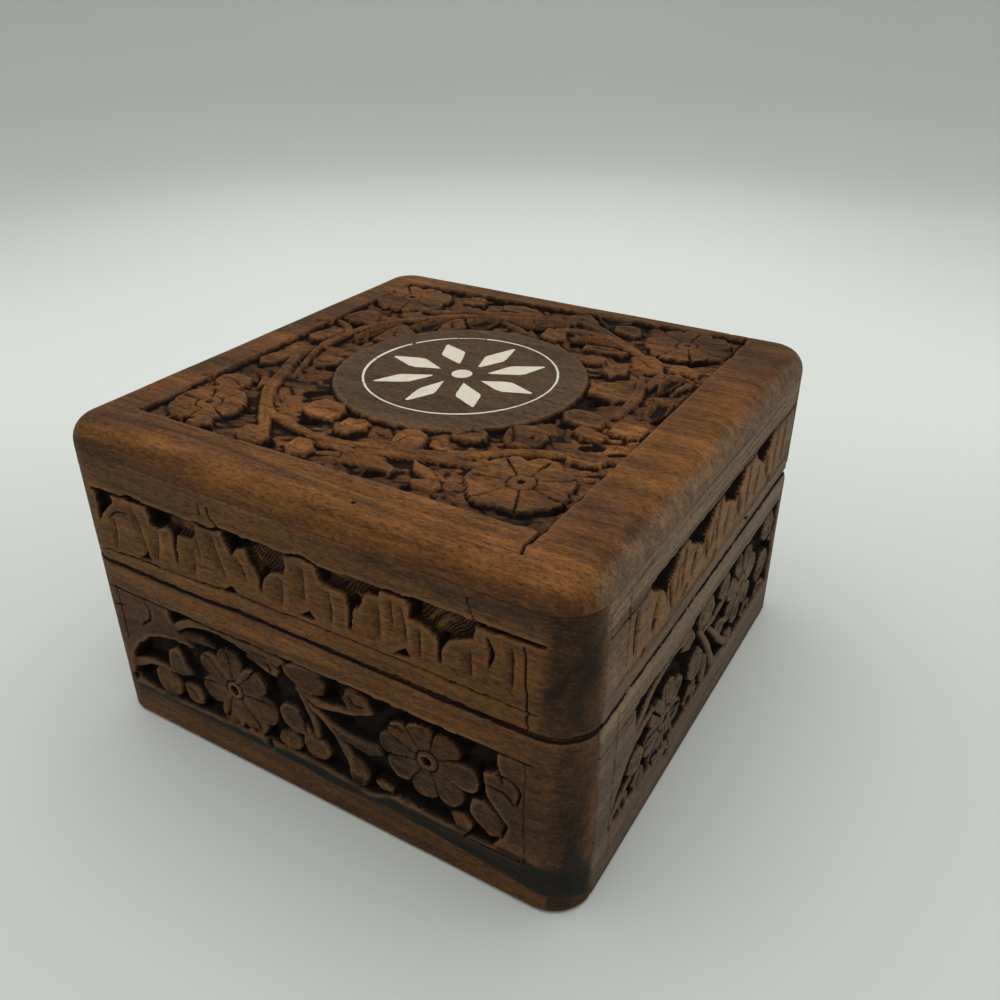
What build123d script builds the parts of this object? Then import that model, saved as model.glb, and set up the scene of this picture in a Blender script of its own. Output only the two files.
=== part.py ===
from build123d import *
import os
from math import cos, hypot, radians, sin, tan

# A square hinged trinket box of carved hardwood boards, in millimetres.
# The origin is the centre of the underside, the front faces -Y and +Z is up.

# Overall size
box_width = 101.6
box_depth = 101.6
base_height = 36.2
lid_wall_height = 21.6
top_board_thickness = 4.6

# Boards
wall_thickness = 6.6
corner_radius = 7.1
top_round_over = 4.4
foot_chamfer = 0.6
bottom_board_thickness = 3.0
bottom_rabbet = 3.0
bottom_board_clearance = 0.05

# Carved panels on the four sides of the base
base_panel_width = 85.0
base_panel_height = 21.6
base_panel_bottom = 8.7
base_carving_depth = 2.2
panel_end_margin = 1.0

# Carved band on the four sides of the lid
lid_band_width = 85.0
lid_band_height = 12.0
lid_band_bottom = 4.0
lid_carving_depth = 1.6
band_notch_width = 1.0

# Carved square and plain disc on the top
top_panel_width = 78.2
top_panel_depth = 83.0
top_panel_x = -1.1
top_panel_y = 1.6
top_carving_depth = 1.8
disc_radius = 23.7
disc_x = -1.7
disc_y = 1.2

# How far the carved flowers and leaves lie under the plain border
relief_drop = 0.3

# Bone inlay in the disc
inlay_depth = 1.4
inlay_clearance = 0.04
ring_radius = 18.2
ring_width = 0.65
ring_joint = 0.25
ring_joint_angles = (108.0, 154.5, 187.0, 224.0)
petal_count = 8
petal_inner_radius = 5.0
petal_outer_radius = 15.9
petal_width = 4.4
first_petal_angle = 129.9
dot_radius = 1.95

# Pair of brass butt hinges let into the back rims
hinge_spacing = 50.0
hinge_length = 19.0
hinge_leaf_width = 4.7
hinge_leaf_thickness = 0.8
hinge_leaf_drop = 0.1
barrel_radius = 1.5
barrel_cover = 0.1
knuckle_gap = 0.2
pin_radius = 0.7
pin_clearance = 0.05
hinge_room = 0.3
hinge_fit = 0.1
lid_stop_angle = 100.0
stop_margin = 0.6
edge_relief = 0.05
cut_overrun = 1.0

# Nails that hold the hinge leaves
nail_length = 6.5
nail_radius = 0.5
nail_head_radius = 0.9
nail_head_height = 0.5
nail_hole_clearance = 0.05
nail_spacing = 12.0

# The drawing that the side panels are stretched from
side_panel_drawn_width = 85.0
side_panel_drawn_height = 21.6
side_panel_drawn_bottom = 8.7

# Flowers carved on a side panel: centre, outer radius, turn of the first petal
side_flowers = [
    (-16.6, 17.6, 8.8, 95),
    (24.7, 21.8, 8.8, 5),
]

# Leaves and buds on a side panel: centre, length, width, angle
side_leaves = [
    (-31.0, 17.8, 6.6, 4.4, 75),
    (-34.5, 11.9, 6.8, 6.0, 100),
    (-28.0, 11.8, 5.2, 4.6, 0),
    (-9.3, 27.6, 6.4, 3.8, -15),
    (-4.1, 17.9, 5.2, 5.0, 90),
    (-4.3, 12.3, 5.4, 4.8, 20),
    (0.7, 13.2, 6.4, 4.8, 60),
    (11.2, 11.0, 6.0, 3.8, -65),
    (1.2, 27.6, 7.8, 5.2, 10),
    (10.8, 27.4, 6.4, 4.0, 20),
    (12.5, 18.8, 12.0, 3.6, -8),
    (38.0, 22.9, 6.4, 5.2, -40),
    (39.6, 28.0, 5.4, 4.4, -35),
    (35.5, 16.3, 7.0, 5.6, -45),
    (29.9, 12.0, 6.6, 3.4, 5),
]

# Stems on a side panel: three points of an arc, width
side_stems = [
    ((-42.0, 14.0), (-36.0, 21.5), (-24.0, 24.0), 3.0),
    ((-30.0, 26.0), (-20.0, 29.2), (-9.0, 25.8), 1.4),
    ((-42.0, 10.8), (-38.0, 14.0), (-31.0, 14.8), 1.4),
    ((-6.0, 27.0), (-2.5, 25.2), (0.5, 23.2), 1.3),
    ((0.0, 23.5), (1.8, 19.0), (1.9, 15.0), 1.2),
    ((0.5, 23.5), (6.5, 18.5), (10.5, 12.0), 1.6),
    ((1.0, 23.8), (8.0, 24.3), (15.0, 26.0), 1.6),
]

# Repeats of the drapery motif along the lid band, the tall lobe's share of a repeat,
# and how far a tall lobe runs into the border above
band_repeats = 5
tall_lobe_share = 0.36
tall_lobe_overrun = 0.8
low_lobe_height = 7.6

# Flowers on the top: centre, outer radius, turn of the first petal
top_flowers = [
    (28.7, -29.0, 8.6, 85),
    (29.2, 36.4, 8.6, 60),
    (-35.0, 32.7, 8.8, 80),
    (-32.2, -32.7, 7.6, 75),
]

# Leaves on the top: centre, length, width, angle
top_leaves = [
    (-14.2, -24.2, 7.6, 6.2, 35),
    (-4.6, -26.0, 6.8, 5.4, 70),
    (5.7, -25.0, 6.8, 5.6, -80),
    (14.4, -20.8, 6.4, 5.6, 60),
    (21.5, -14.4, 8.6, 7.6, 30),
    (25.2, -3.8, 6.2, 5.4, 10),
    (-29.2, -6.4, 7.0, 6.0, 40),
    (-36.2, -22.0, 7.2, 5.2, 25),
    (-37.4, -10.0, 7.4, 4.6, 75),
    (-17.3, -36.6, 6.6, 5.0, 80),
    (-7.7, -37.0, 5.2, 4.4, 20),
    (3.8, -34.8, 11.0, 4.2, -10),
    (14.4, -36.3, 6.8, 5.0, 15),
    (33.2, -17.6, 6.2, 3.8, 10),
    (33.6, -4.6, 6.4, 4.8, 15),
    (34.0, 7.0, 7.0, 4.4, 65),
    (25.6, 9.0, 8.2, 5.2, 70),
    (20.5, 18.5, 8.6, 5.0, 55),
    (3.0, 29.0, 6.6, 5.0, 60),
    (3.4, 38.8, 7.2, 5.0, 65),
    (16.8, 37.4, 7.4, 5.6, 50),
    (-9.5, 38.0, 9.0, 4.2, 0),
    (-20.4, 36.6, 8.0, 5.4, 65),
    (-38.0, 17.0, 7.0, 5.6, 35),
    (-38.5, 4.0, 7.4, 5.2, 80),
    (-18.6, 22.6, 6.0, 3.8, 50),
]

# Stems on the top: three points of an arc, width
top_stems = [
    ((-25.0, -22.5), (-34.4, 3.0), (-22.5, 26.0), 1.9),
    ((-22.5, 26.0), (-8.5, 33.8), (7.0, 35.2), 1.9),
    ((5.0, 32.6), (12.0, 32.8), (20.0, 28.6), 2.2),
    ((-28.0, -17.5), (-20.5, -28.8), (-14.0, -37.0), 2.0),
    ((-20.5, -28.8), (-3.5, -32.2), (13.0, -26.8), 1.8),
    ((13.0, -26.8), (23.0, -20.8), (31.0, -17.4), 1.8),
    ((8.0, -31.2), (15.0, -32.4), (19.0, -38.0), 1.6),
    ((20.0, 28.6), (27.5, 18.0), (31.5, 4.0), 1.8),
    ((-29.0, -7.5), (-31.5, -12.5), (-36.0, -19.0), 1.6),
]

# Shape of a carved flower: ring, drilled hole and petals as shares of its radius
flower_petal_count = 7
flower_eye_share = 0.27
flower_hole_radius = 0.7
petal_length_share = 0.66
petal_width_share = 0.58

# Derived heights and places
lid_rim = base_height
lid_top_board_bottom = base_height + lid_wall_height
box_height = lid_top_board_bottom + top_board_thickness
inner_width = box_width - 2 * wall_thickness
inner_depth = box_depth - 2 * wall_thickness
hinge_inset = barrel_radius + barrel_cover
hinge_y = box_depth / 2 - hinge_inset
hinge_z = base_height
hinge_places = [-hinge_spacing / 2, hinge_spacing / 2]
stop_slope = tan(radians((lid_stop_angle + stop_margin) / 2))
carving_ratio_z = base_panel_height / side_panel_drawn_height
board_turns = {"front": 0, "right": 90, "back": 180, "left": 270}


def half_depth(side):
    """Distance from the middle of the box to the outer face of one side."""
    return (box_depth if side in ("front", "back") else box_width) / 2


def board_length(side):
    """Front and back boards run the full width, and the others butt between them."""
    return box_width if side in ("front", "back") else inner_depth


def face_plane(side, height):
    """Plane on a side's outer face: x to the right as seen from outside, y up."""
    turn = radians(board_turns[side])
    outward = (sin(turn), -cos(turn), 0)
    rightward = (cos(turn), sin(turn), 0)
    place = (outward[0] * half_depth(side), outward[1] * half_depth(side), height)
    return Plane(origin=place, x_dir=rightward, z_dir=outward)


def rounded_block(bottom, height):
    """The outline of the box with its rounded corners, over one stretch of height."""
    outline = RectangleRounded(box_width, box_depth, corner_radius)
    return Pos(0, 0, bottom) * extrude(outline, height)


def board_space(side, bottom, height):
    """The plain board that a side is cut from, before its corners are rounded."""
    along = board_length(side)
    out = half_depth(side) - wall_thickness / 2
    block = Box(along, wall_thickness, height, align=(Align.CENTER, Align.CENTER, Align.MIN))
    return Rot(0, 0, board_turns[side]) * Pos(0, -out, bottom) * block


def ellipse_at(x, y, length, width, angle):
    """One leaf or petal outline."""
    return Pos(x, y) * Rot(0, 0, angle) * Ellipse(length / 2, width / 2)


def flower_outline(x, y, radius, turn):
    """Petals around a raised eye with a drilled middle."""
    reach = radius * (1 - petal_length_share / 2)
    shapes = [Pos(x, y) * Circle(radius * flower_eye_share)]
    for step in range(flower_petal_count):
        angle = turn + step * 360 / flower_petal_count
        petal_x = x + reach * cos(radians(angle))
        petal_y = y + reach * sin(radians(angle))
        length = radius * petal_length_share
        shapes.append(ellipse_at(petal_x, petal_y, length, radius * petal_width_share, angle))
    outline = shapes[0]
    for shape in shapes[1:]:
        outline += shape
    return outline - Pos(x, y) * Circle(flower_hole_radius)


def stem_outline(start, middle, end, width):
    """A stem of even width along one arc."""
    return trace(ThreePointArc(start, middle, end), line_width=width)


def carved_outline(flowers, leaves, stems):
    """Everything that is left standing in a carved panel."""
    shapes = [stem_outline(*stem) for stem in stems]
    shapes += [ellipse_at(*leaf) for leaf in leaves]
    outline = shapes[0]
    for shape in shapes[1:]:
        outline += shape
    for flower in flowers:
        outline += flower_outline(*flower)
    return outline


def stretched(points, ratio_x, ratio_z):
    """Moves a list of drawn places with the size of their panel, keeping each motif's own size."""
    moved = []
    for x, z, *rest in points:
        height = base_panel_bottom + (z - side_panel_drawn_bottom) * ratio_z
        moved.append((x * ratio_x, height, *rest))
    return moved


def stretched_stems(stems, ratio_x, ratio_z):
    """Moves the points of the drawn stems with the size of their panel."""
    return [(*stretched(stem[:3], ratio_x, ratio_z), stem[3]) for stem in stems]


def carve(board, plane, panel, standing, depth):
    """Sinks a panel a little all over, and its ground deeply around what stands in it."""
    ground = panel - (panel & standing)
    shallow_plane = plane.offset(-relief_drop)
    board -= extrude(plane * panel, -relief_drop)
    return board - extrude(shallow_plane * ground, relief_drop - depth)


def side_panel_width(side, width):
    """A panel keeps clear of the joints at the ends of a shorter board."""
    return min(width, board_length(side) - 2 * panel_end_margin)


def carved_base_panel(board, side):
    """The flower panel on one side of the base."""
    width = side_panel_width(side, base_panel_width)
    ratio_x = width / side_panel_drawn_width
    middle = base_panel_bottom + base_panel_height / 2
    panel = Pos(0, middle) * Rectangle(width, base_panel_height)
    standing = carved_outline(
        stretched(side_flowers, ratio_x, carving_ratio_z),
        stretched(side_leaves, ratio_x, carving_ratio_z),
        stretched_stems(side_stems, ratio_x, carving_ratio_z),
    )
    return carve(board, face_plane(side, 0), panel, standing, base_carving_depth)


def drapery_outline(width):
    """Lobes hanging in a row along the lid band: a tall one between two low ones."""
    repeat = width / band_repeats
    tall_width = repeat * tall_lobe_share
    foot = lid_band_bottom
    row = Pos(0, foot + low_lobe_height / 2) * Rectangle(width, low_lobe_height)
    for step in range(band_repeats):
        middle = -width / 2 + (step + 0.5) * repeat
        tall = 2 * (lid_band_height - low_lobe_height + tall_lobe_overrun)
        row += ellipse_at(middle, foot + low_lobe_height, tall, tall_width, 90)
    for step in range(band_repeats + 1):
        notch_x = -width / 2 + step * repeat
        row -= ellipse_at(notch_x, foot + low_lobe_height, low_lobe_height / 2, band_notch_width, 90)
    return row


def carved_lid_band(board, side):
    """The drapery band on one side of the lid."""
    width = side_panel_width(side, lid_band_width)
    middle = lid_band_bottom + lid_band_height / 2
    panel = Pos(0, middle) * Rectangle(width, lid_band_height)
    standing = drapery_outline(width)
    return carve(board, face_plane(side, lid_rim), panel, standing, lid_carving_depth)


def stop_bevel(direction):
    """Wedge behind the hinge line; the two bevelled back edges meet and stop the open lid."""
    start_y = hinge_y - edge_relief
    run = box_depth / 2 - start_y + cut_overrun
    rise = direction * run * stop_slope
    corners = [(start_y, hinge_z), (start_y + run, hinge_z + rise), (start_y + run, hinge_z)]
    face = make_face(Plane.YZ * Polyline(*corners, close=True))
    start_x = -box_width / 2 - cut_overrun
    return Pos(start_x, 0, 0) * extrude(face, -2 * start_x, dir=(1, 0, 0))


def hinge_recess(x, direction):
    """Mortise for one leaf and the half-round room for the barrel."""
    depth = hinge_leaf_drop + hinge_leaf_thickness
    length = hinge_length + 2 * hinge_fit
    width = hinge_leaf_width + hinge_fit + hinge_inset + cut_overrun
    low = hinge_z if direction > 0 else hinge_z - depth
    mortise = Box(length, width, depth, align=(Align.CENTER, Align.MIN, Align.MIN))
    mortise = Pos(x, hinge_y - hinge_leaf_width - hinge_fit, low) * mortise
    barrel = Cylinder(barrel_radius + hinge_room, hinge_length + 2 * hinge_fit)
    return mortise + Pos(x, hinge_y, hinge_z) * Rot(0, 90, 0) * barrel


def nail_places(x):
    """The two nails of one leaf."""
    plate_middle = hinge_y - (hinge_leaf_width + barrel_radius + hinge_room) / 2
    return [(x - nail_spacing / 2, plate_middle), (x + nail_spacing / 2, plate_middle)]


def nail(x, y, direction, clearance=0.0):
    """A countersunk nail whose head is flush with the outer face of its leaf."""
    face = hinge_z + direction * hinge_leaf_drop
    radius = nail_radius + clearance
    head_radius = nail_head_radius + clearance
    shank_length = nail_length - nail_head_height
    standing = (Align.CENTER, Align.CENTER, Align.MIN)
    shank = Pos(0, 0, nail_head_height) * Cylinder(radius, shank_length, align=standing)
    upright = Cone(head_radius, radius, nail_head_height, align=standing) + shank
    if direction < 0:
        upright = Rot(180, 0, 0) * upright
    return Pos(x, y, face) * upright


def wall_board(side, bottom, height):
    """One side of the base or the lid, with its rounded corners."""
    return board_space(side, bottom, height) & rounded_block(bottom, height)


def cut_hinge_seats(board, direction):
    """Everything that the back rims lose to the hinges and the stop."""
    board -= stop_bevel(direction)
    for x in hinge_places:
        board -= hinge_recess(x, direction)
        for nail_x, nail_y in nail_places(x):
            board -= nail(nail_x, nail_y, direction)
    return board


def base_board(side):
    """A side of the base, rabbeted below for the bottom board."""
    board = wall_board(side, 0, base_height)
    foot = Box(
        inner_width + 2 * bottom_rabbet,
        inner_depth + 2 * bottom_rabbet,
        bottom_board_thickness,
        align=(Align.CENTER, Align.CENTER, Align.MIN),
    )
    board -= foot
    board -= foot_edge()
    board = carved_base_panel(board, side)
    if side == "back":
        board = cut_hinge_seats(board, -1)
    return board


def foot_edge():
    """What a small chamfer takes off the lower outside edge."""
    outline = rounded_block(0, 2 * foot_chamfer)
    lower_edges = outline.faces().sort_by(Axis.Z)[0].outer_wire().edges()
    return outline - chamfer(lower_edges, foot_chamfer)


def bottom_board():
    """The bottom board lies in the rabbets, flush with the underside."""
    gap = 2 * bottom_board_clearance
    return Box(
        inner_width + 2 * bottom_rabbet - gap,
        inner_depth + 2 * bottom_rabbet - gap,
        bottom_board_thickness,
        align=(Align.CENTER, Align.CENTER, Align.MIN),
    )


def lid_board(side):
    """A side of the lid."""
    board = wall_board(side, lid_rim, lid_wall_height)
    board = carved_lid_band(board, side)
    if side == "back":
        board = cut_hinge_seats(board, 1)
    return board


def rosette_angle(step):
    """Direction of one inlaid petal, counted clockwise from the back left one."""
    return first_petal_angle - step * 360 / petal_count


def lozenge(angle, growth=0.0):
    """One pointed petal of the rosette, seen from above."""
    middle = (petal_inner_radius + petal_outer_radius) / 2
    half_length = (petal_outer_radius - petal_inner_radius) / 2
    half_width = petal_width / 2
    slope = hypot(half_length, half_width)
    far = half_length + growth * slope / half_width
    wide = half_width + growth * slope / half_length
    corners = [(middle - far, 0), (middle, -wide), (middle + far, 0), (middle, wide)]
    return Pos(disc_x, disc_y) * Rot(0, 0, angle) * Polygon(*corners, align=None)


def ring_face(growth=0.0):
    """The thin inlaid ring, seen from above."""
    outer = Circle(ring_radius + ring_width / 2 + growth)
    inner = Circle(ring_radius - ring_width / 2 - growth)
    return Pos(disc_x, disc_y) * (outer - inner)


def sunk(face, depth):
    """A flat shape carried from the top surface down to a depth."""
    return Pos(0, 0, box_height) * extrude(face, -depth)


def top_board():
    """The top board with its carved square, and the plain disc with its inlay pockets."""
    board = rounded_block(lid_top_board_bottom, top_board_thickness)
    top_edges = board.faces().sort_by(Axis.Z)[-1].outer_wire().edges()
    board = fillet(top_edges, top_round_over)
    panel = Pos(top_panel_x, top_panel_y) * Rectangle(top_panel_width, top_panel_depth)
    disc = Pos(disc_x, disc_y) * Circle(disc_radius)
    standing = carved_outline(top_flowers, top_leaves, top_stems)
    plane = Plane(origin=(0, 0, box_height))
    board = carve(board, plane, panel - disc, standing, top_carving_depth)
    board -= sunk(ring_face(inlay_clearance), inlay_depth)
    board -= sunk(Pos(disc_x, disc_y) * Circle(dot_radius + inlay_clearance), inlay_depth)
    for step in range(petal_count):
        board -= sunk(lozenge(rosette_angle(step), inlay_clearance), inlay_depth)
    return board


def inlay_ring():
    """The ring, bent from strips that leave small gaps where their ends meet."""
    ring = sunk(ring_face(), inlay_depth)
    for angle in ring_joint_angles:
        cutter = Box(ring_width + 2 * cut_overrun, ring_joint, 2 * (inlay_depth + cut_overrun))
        place_x = disc_x + ring_radius * cos(radians(angle))
        place_y = disc_y + ring_radius * sin(radians(angle))
        ring -= Pos(place_x, place_y, box_height) * Rot(0, 0, angle) * cutter
    return ring


def knuckle_span(index):
    """Lowest and highest place of one of the three knuckles along the pin."""
    third = hinge_length / 3
    low = -hinge_length / 2 + index * third
    start = low + (knuckle_gap / 2 if index > 0 else 0)
    end = low + third - (knuckle_gap / 2 if index < 2 else 0)
    return start, end


def hinge_leaf(x, direction, knuckles):
    """A leaf with its own knuckles rolled round the pin; direction 1 is the lid's leaf."""
    low = hinge_leaf_drop if direction > 0 else -hinge_leaf_drop - hinge_leaf_thickness
    plate_width = hinge_leaf_width - barrel_radius - hinge_room
    plate = Box(hinge_length, plate_width, hinge_leaf_thickness, align=(Align.CENTER, Align.MIN, Align.MIN))
    leaf = Pos(0, -hinge_leaf_width, low) * plate
    for index in knuckles:
        start, end = knuckle_span(index)
        length = end - start
        middle = (start + end) / 2
        tongue_size = (length, barrel_radius + hinge_room, hinge_leaf_thickness)
        tongue = Box(*tongue_size, align=(Align.CENTER, Align.MAX, Align.MIN))
        leaf += Pos(middle, 0, low) * tongue
        leaf += Pos(middle, 0, 0) * Rot(0, 90, 0) * Cylinder(barrel_radius, length)
    leaf -= Rot(0, 90, 0) * Cylinder(pin_radius + pin_clearance, hinge_length * 2)
    leaf = Pos(x, hinge_y, hinge_z) * leaf
    for nail_x, nail_y in nail_places(x):
        leaf -= nail(nail_x, nail_y, direction, nail_hole_clearance)
    return leaf


def hinge_pin(x):
    """The pin through all three knuckles."""
    return Pos(x, hinge_y, hinge_z) * Rot(0, 90, 0) * Cylinder(pin_radius, hinge_length)


def hinge_nails(direction):
    """The four nails on one side of the seam, as separate solids."""
    places = [place for x in hinge_places for place in nail_places(x)]
    return Compound(children=[nail(x, y, direction).solid() for x, y in places])


def write(name, shape):
    """Writes one piece."""
    export_step(shape, f"parts/{name}.step")


def main():
    """Writes every piece of the box."""
    os.makedirs("parts", exist_ok=True)
    for side in board_turns:
        write(f"base_{side}_board", base_board(side))
        write(f"lid_{side}_board", lid_board(side))
    write("bottom_board", bottom_board())
    write("lid_top_board", top_board())
    write("inlay_ring", inlay_ring())
    write("inlay_centre_dot", sunk(Pos(disc_x, disc_y) * Circle(dot_radius), inlay_depth))
    for step in range(petal_count):
        write(f"inlay_petal_{step + 1}", sunk(lozenge(rosette_angle(step)), inlay_depth))
    for name, x in zip(("left", "right"), hinge_places):
        write(f"hinge_{name}_lid_leaf", hinge_leaf(x, 1, [1]))
        write(f"hinge_{name}_base_leaf", hinge_leaf(x, -1, [0, 2]))
        write(f"hinge_{name}_pin", hinge_pin(x))
    write("lid_hinge_nails", hinge_nails(1))
    write("base_hinge_nails", hinge_nails(-1))


main()
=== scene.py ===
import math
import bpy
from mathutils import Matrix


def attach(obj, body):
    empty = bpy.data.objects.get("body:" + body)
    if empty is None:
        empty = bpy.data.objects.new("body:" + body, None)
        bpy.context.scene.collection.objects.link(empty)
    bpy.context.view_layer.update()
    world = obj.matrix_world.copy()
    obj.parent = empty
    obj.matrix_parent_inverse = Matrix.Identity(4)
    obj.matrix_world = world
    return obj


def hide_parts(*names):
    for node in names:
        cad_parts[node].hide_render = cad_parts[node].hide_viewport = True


bl_info = {
    "name": "Carved Trinket Box",
    "version": (1, 0, 0),
    "blender": (4, 5, 0),
    "location": "3D View > Sidebar > Trinket Box",
    "description": "Carved boards, bone rosette and brass hinges of a small hinged wooden box",
    "category": "Object",
}

import bpy
import numpy as np
from mathutils import Matrix, Vector

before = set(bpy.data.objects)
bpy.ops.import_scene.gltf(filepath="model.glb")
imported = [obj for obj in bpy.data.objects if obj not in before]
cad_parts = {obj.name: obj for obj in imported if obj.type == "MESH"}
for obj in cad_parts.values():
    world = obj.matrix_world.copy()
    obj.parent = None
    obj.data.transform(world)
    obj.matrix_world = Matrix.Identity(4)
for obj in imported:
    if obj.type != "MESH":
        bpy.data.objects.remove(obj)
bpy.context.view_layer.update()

# The box's lengths are millimetres in its own frame here, and metres once they are in a mesh. The stage's
# lengths and the user's settings are metres.
METRE = 0.001

# Sizes that the boards share with the solids
WIDTH = 101.6
WALL = 6.6
CORNER = 7.1
SEAM = 36.2
LID_WALLS_TOP = 57.8
HEIGHT = 62.4
ROUND_OVER = 4.4
FOOT_CHAMFER = 0.6
RABBET = 3.0
HALF = WIDTH / 2
INNER = HALF - WALL
STRAIGHT = HALF - CORNER
HINGE_PLACE = 25.0
BARREL_ROOM = 9.6
SIDE_TURNS = {"front": 0, "right": 90, "back": 180, "left": 270}

# Bevel along the back of the seam, and the hinge barrels' place in it
BEVEL = 1.66
BEVEL_SLOPE = 1.2045
BARREL_RADIUS = 1.8
BARREL_DEPTH = 1.6

# Depths where the dirt and painted shade in the hollows begin and where they are full
BASE_DIRT_AND_SHADE = {"front": (0.7, 2.7), "left": (0.7, 2.7), "right": (0.5, 1.5), "back": (0.5, 1.5)}
LID_DIRT_AND_SHADE = (0.6, 1.9)
TOP_DIRT_AND_SHADE = (1.15, 2.3)

# Carvings are drawn in hundredths of the box's width. The camera sees them from these places, in the same
# unit: across, up and out from each face.
HUNDREDTH = WIDTH / 100
VIEWS = {"front": (88.3, 129.2, 85.1), "right": (-135.1, 129.2, 38.3), "top": (88.3, -135.1, 67.8)}

# The camera stands where the photo was taken from, and its lens is in millimetres
CAMERA_PLACE = (0.08975, -0.13729, 0.13123)
CAMERA_TURN = math.radians(30.904)
CAMERA_TILT = math.radians(59.879)
LENS = 34.359

# The lamp's place, aim, width and watts, and the pale room's colour and strength
LAMP_PLACE = (-0.12, 0.2, 1.1)
LAMP_AIM = (0.0, 0.0, 0.03)
LAMP_SIZE = 1.6
LAMP_POWER = 9.0
ROOM_COLOUR = (0.93, 0.96, 0.95, 1)
ROOM_STRENGTH = 0.62

# The paper sweep: half its width, the ends of its flat floor, the radius of its bend and its top
SWEEP_HALF = 3.0
SWEEP_FRONT = -2.5
SWEEP_BACK = 0.52
SWEEP_BEND = 0.25
SWEEP_TOP = 2.6

# Steepness of the carving's cut sides, the numbers it leaves on the mesh, and what marks a scored floor
FLANK = 5.0
TINTS = ("ochre", "black", "grey", "light", "shade", "hatch")
LINES_START = 300

# Faces that meet at a larger angle than this have a sharp edge between them
SHARP_ANGLE = math.radians(48)


def noise(u, v, size_u, size_v, seed):
    """Smooth noise from -1 to 1, with features of the given sizes."""
    table = np.random.default_rng(seed).uniform(-1, 1, (64, 64))
    a, b = u / size_u, v / size_v
    i, j = np.floor(a).astype(int), np.floor(b).astype(int)
    a, b = a - i, b - j
    a, b = a * a * (3 - 2 * a), b * b * (3 - 2 * b)
    left, right, low, high = i % 64, (i + 1) % 64, j % 64, (j + 1) % 64
    lower = table[left, low] * (1 - a) + table[right, low] * a
    upper = table[left, high] * (1 - a) + table[right, high] * a
    return lower * (1 - b) + upper * b


def turned(u, v, degrees):
    """Coordinates along and across a direction."""
    c, s = math.cos(math.radians(degrees)), math.sin(math.radians(degrees))
    return u * c + v * s, v * c - u * s


def blurred(field, cells):
    """A field averaged over a few cells each way."""
    for axis in (0, 1):
        for _ in range(2):
            pad = [(0, 0), (0, 0)]
            pad[axis] = (cells + 1, cells)
            total = np.cumsum(np.pad(field, pad, mode="edge"), axis=axis)
            span = 2 * cells + 1
            upper = np.take(total, range(span, total.shape[axis]), axis=axis)
            lower = np.take(total, range(0, total.shape[axis] - span), axis=axis)
            field = (upper - lower) / span
    return field


def smooth(x):
    """Zero to one with soft ends."""
    x = np.clip(x, 0, 1)
    return x * x * (3 - 2 * x)


def curve(points, widths, steps=8):
    """A smooth line through the points, with one half width or several blended along it."""
    p, widths = np.array(points, float), np.atleast_1d(widths)
    w = np.interp(np.linspace(0, 1, len(p)), np.linspace(0, 1, len(widths)), widths)
    if len(p) == 2:
        t = np.linspace(0, 1, 4)[:, None]
        return p[0] * (1 - t) + p[1] * t, w[0] * (1 - t[:, 0]) + w[1] * t[:, 0]
    ends = np.vstack([2 * p[0] - p[1], p, 2 * p[-1] - p[-2]])
    line, half = [], []
    for k in range(len(p) - 1):
        a, b, c, d = ends[k : k + 4]
        last = k == len(p) - 2
        for t in np.linspace(0, 1, steps + 1)[: None if last else -1]:
            bend = 2 * a - 5 * b + 4 * c - d
            line.append(0.5 * (2 * b + (c - a) * t + bend * t**2 + (3 * b - a - 3 * c + d) * t**3))
            half.append(w[k] * (1 - t) + w[k + 1] * t)
    return np.array(line), np.array(half)


def from_segment(u, v, start, step):
    """How far along a segment its nearest place lies, and the way from there, across and up."""
    t = np.clip(((u - start[0]) * step[0] + (v - start[1]) * step[1]) / max(step @ step, 1e-9), 0, 1)
    return t, u - start[0] - t * step[0], v - start[1] - t * step[1]


def raise_to(field, win, values):
    """Raises part of a field where the new values are larger."""
    field[win] = np.maximum(field[win], values)


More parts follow.
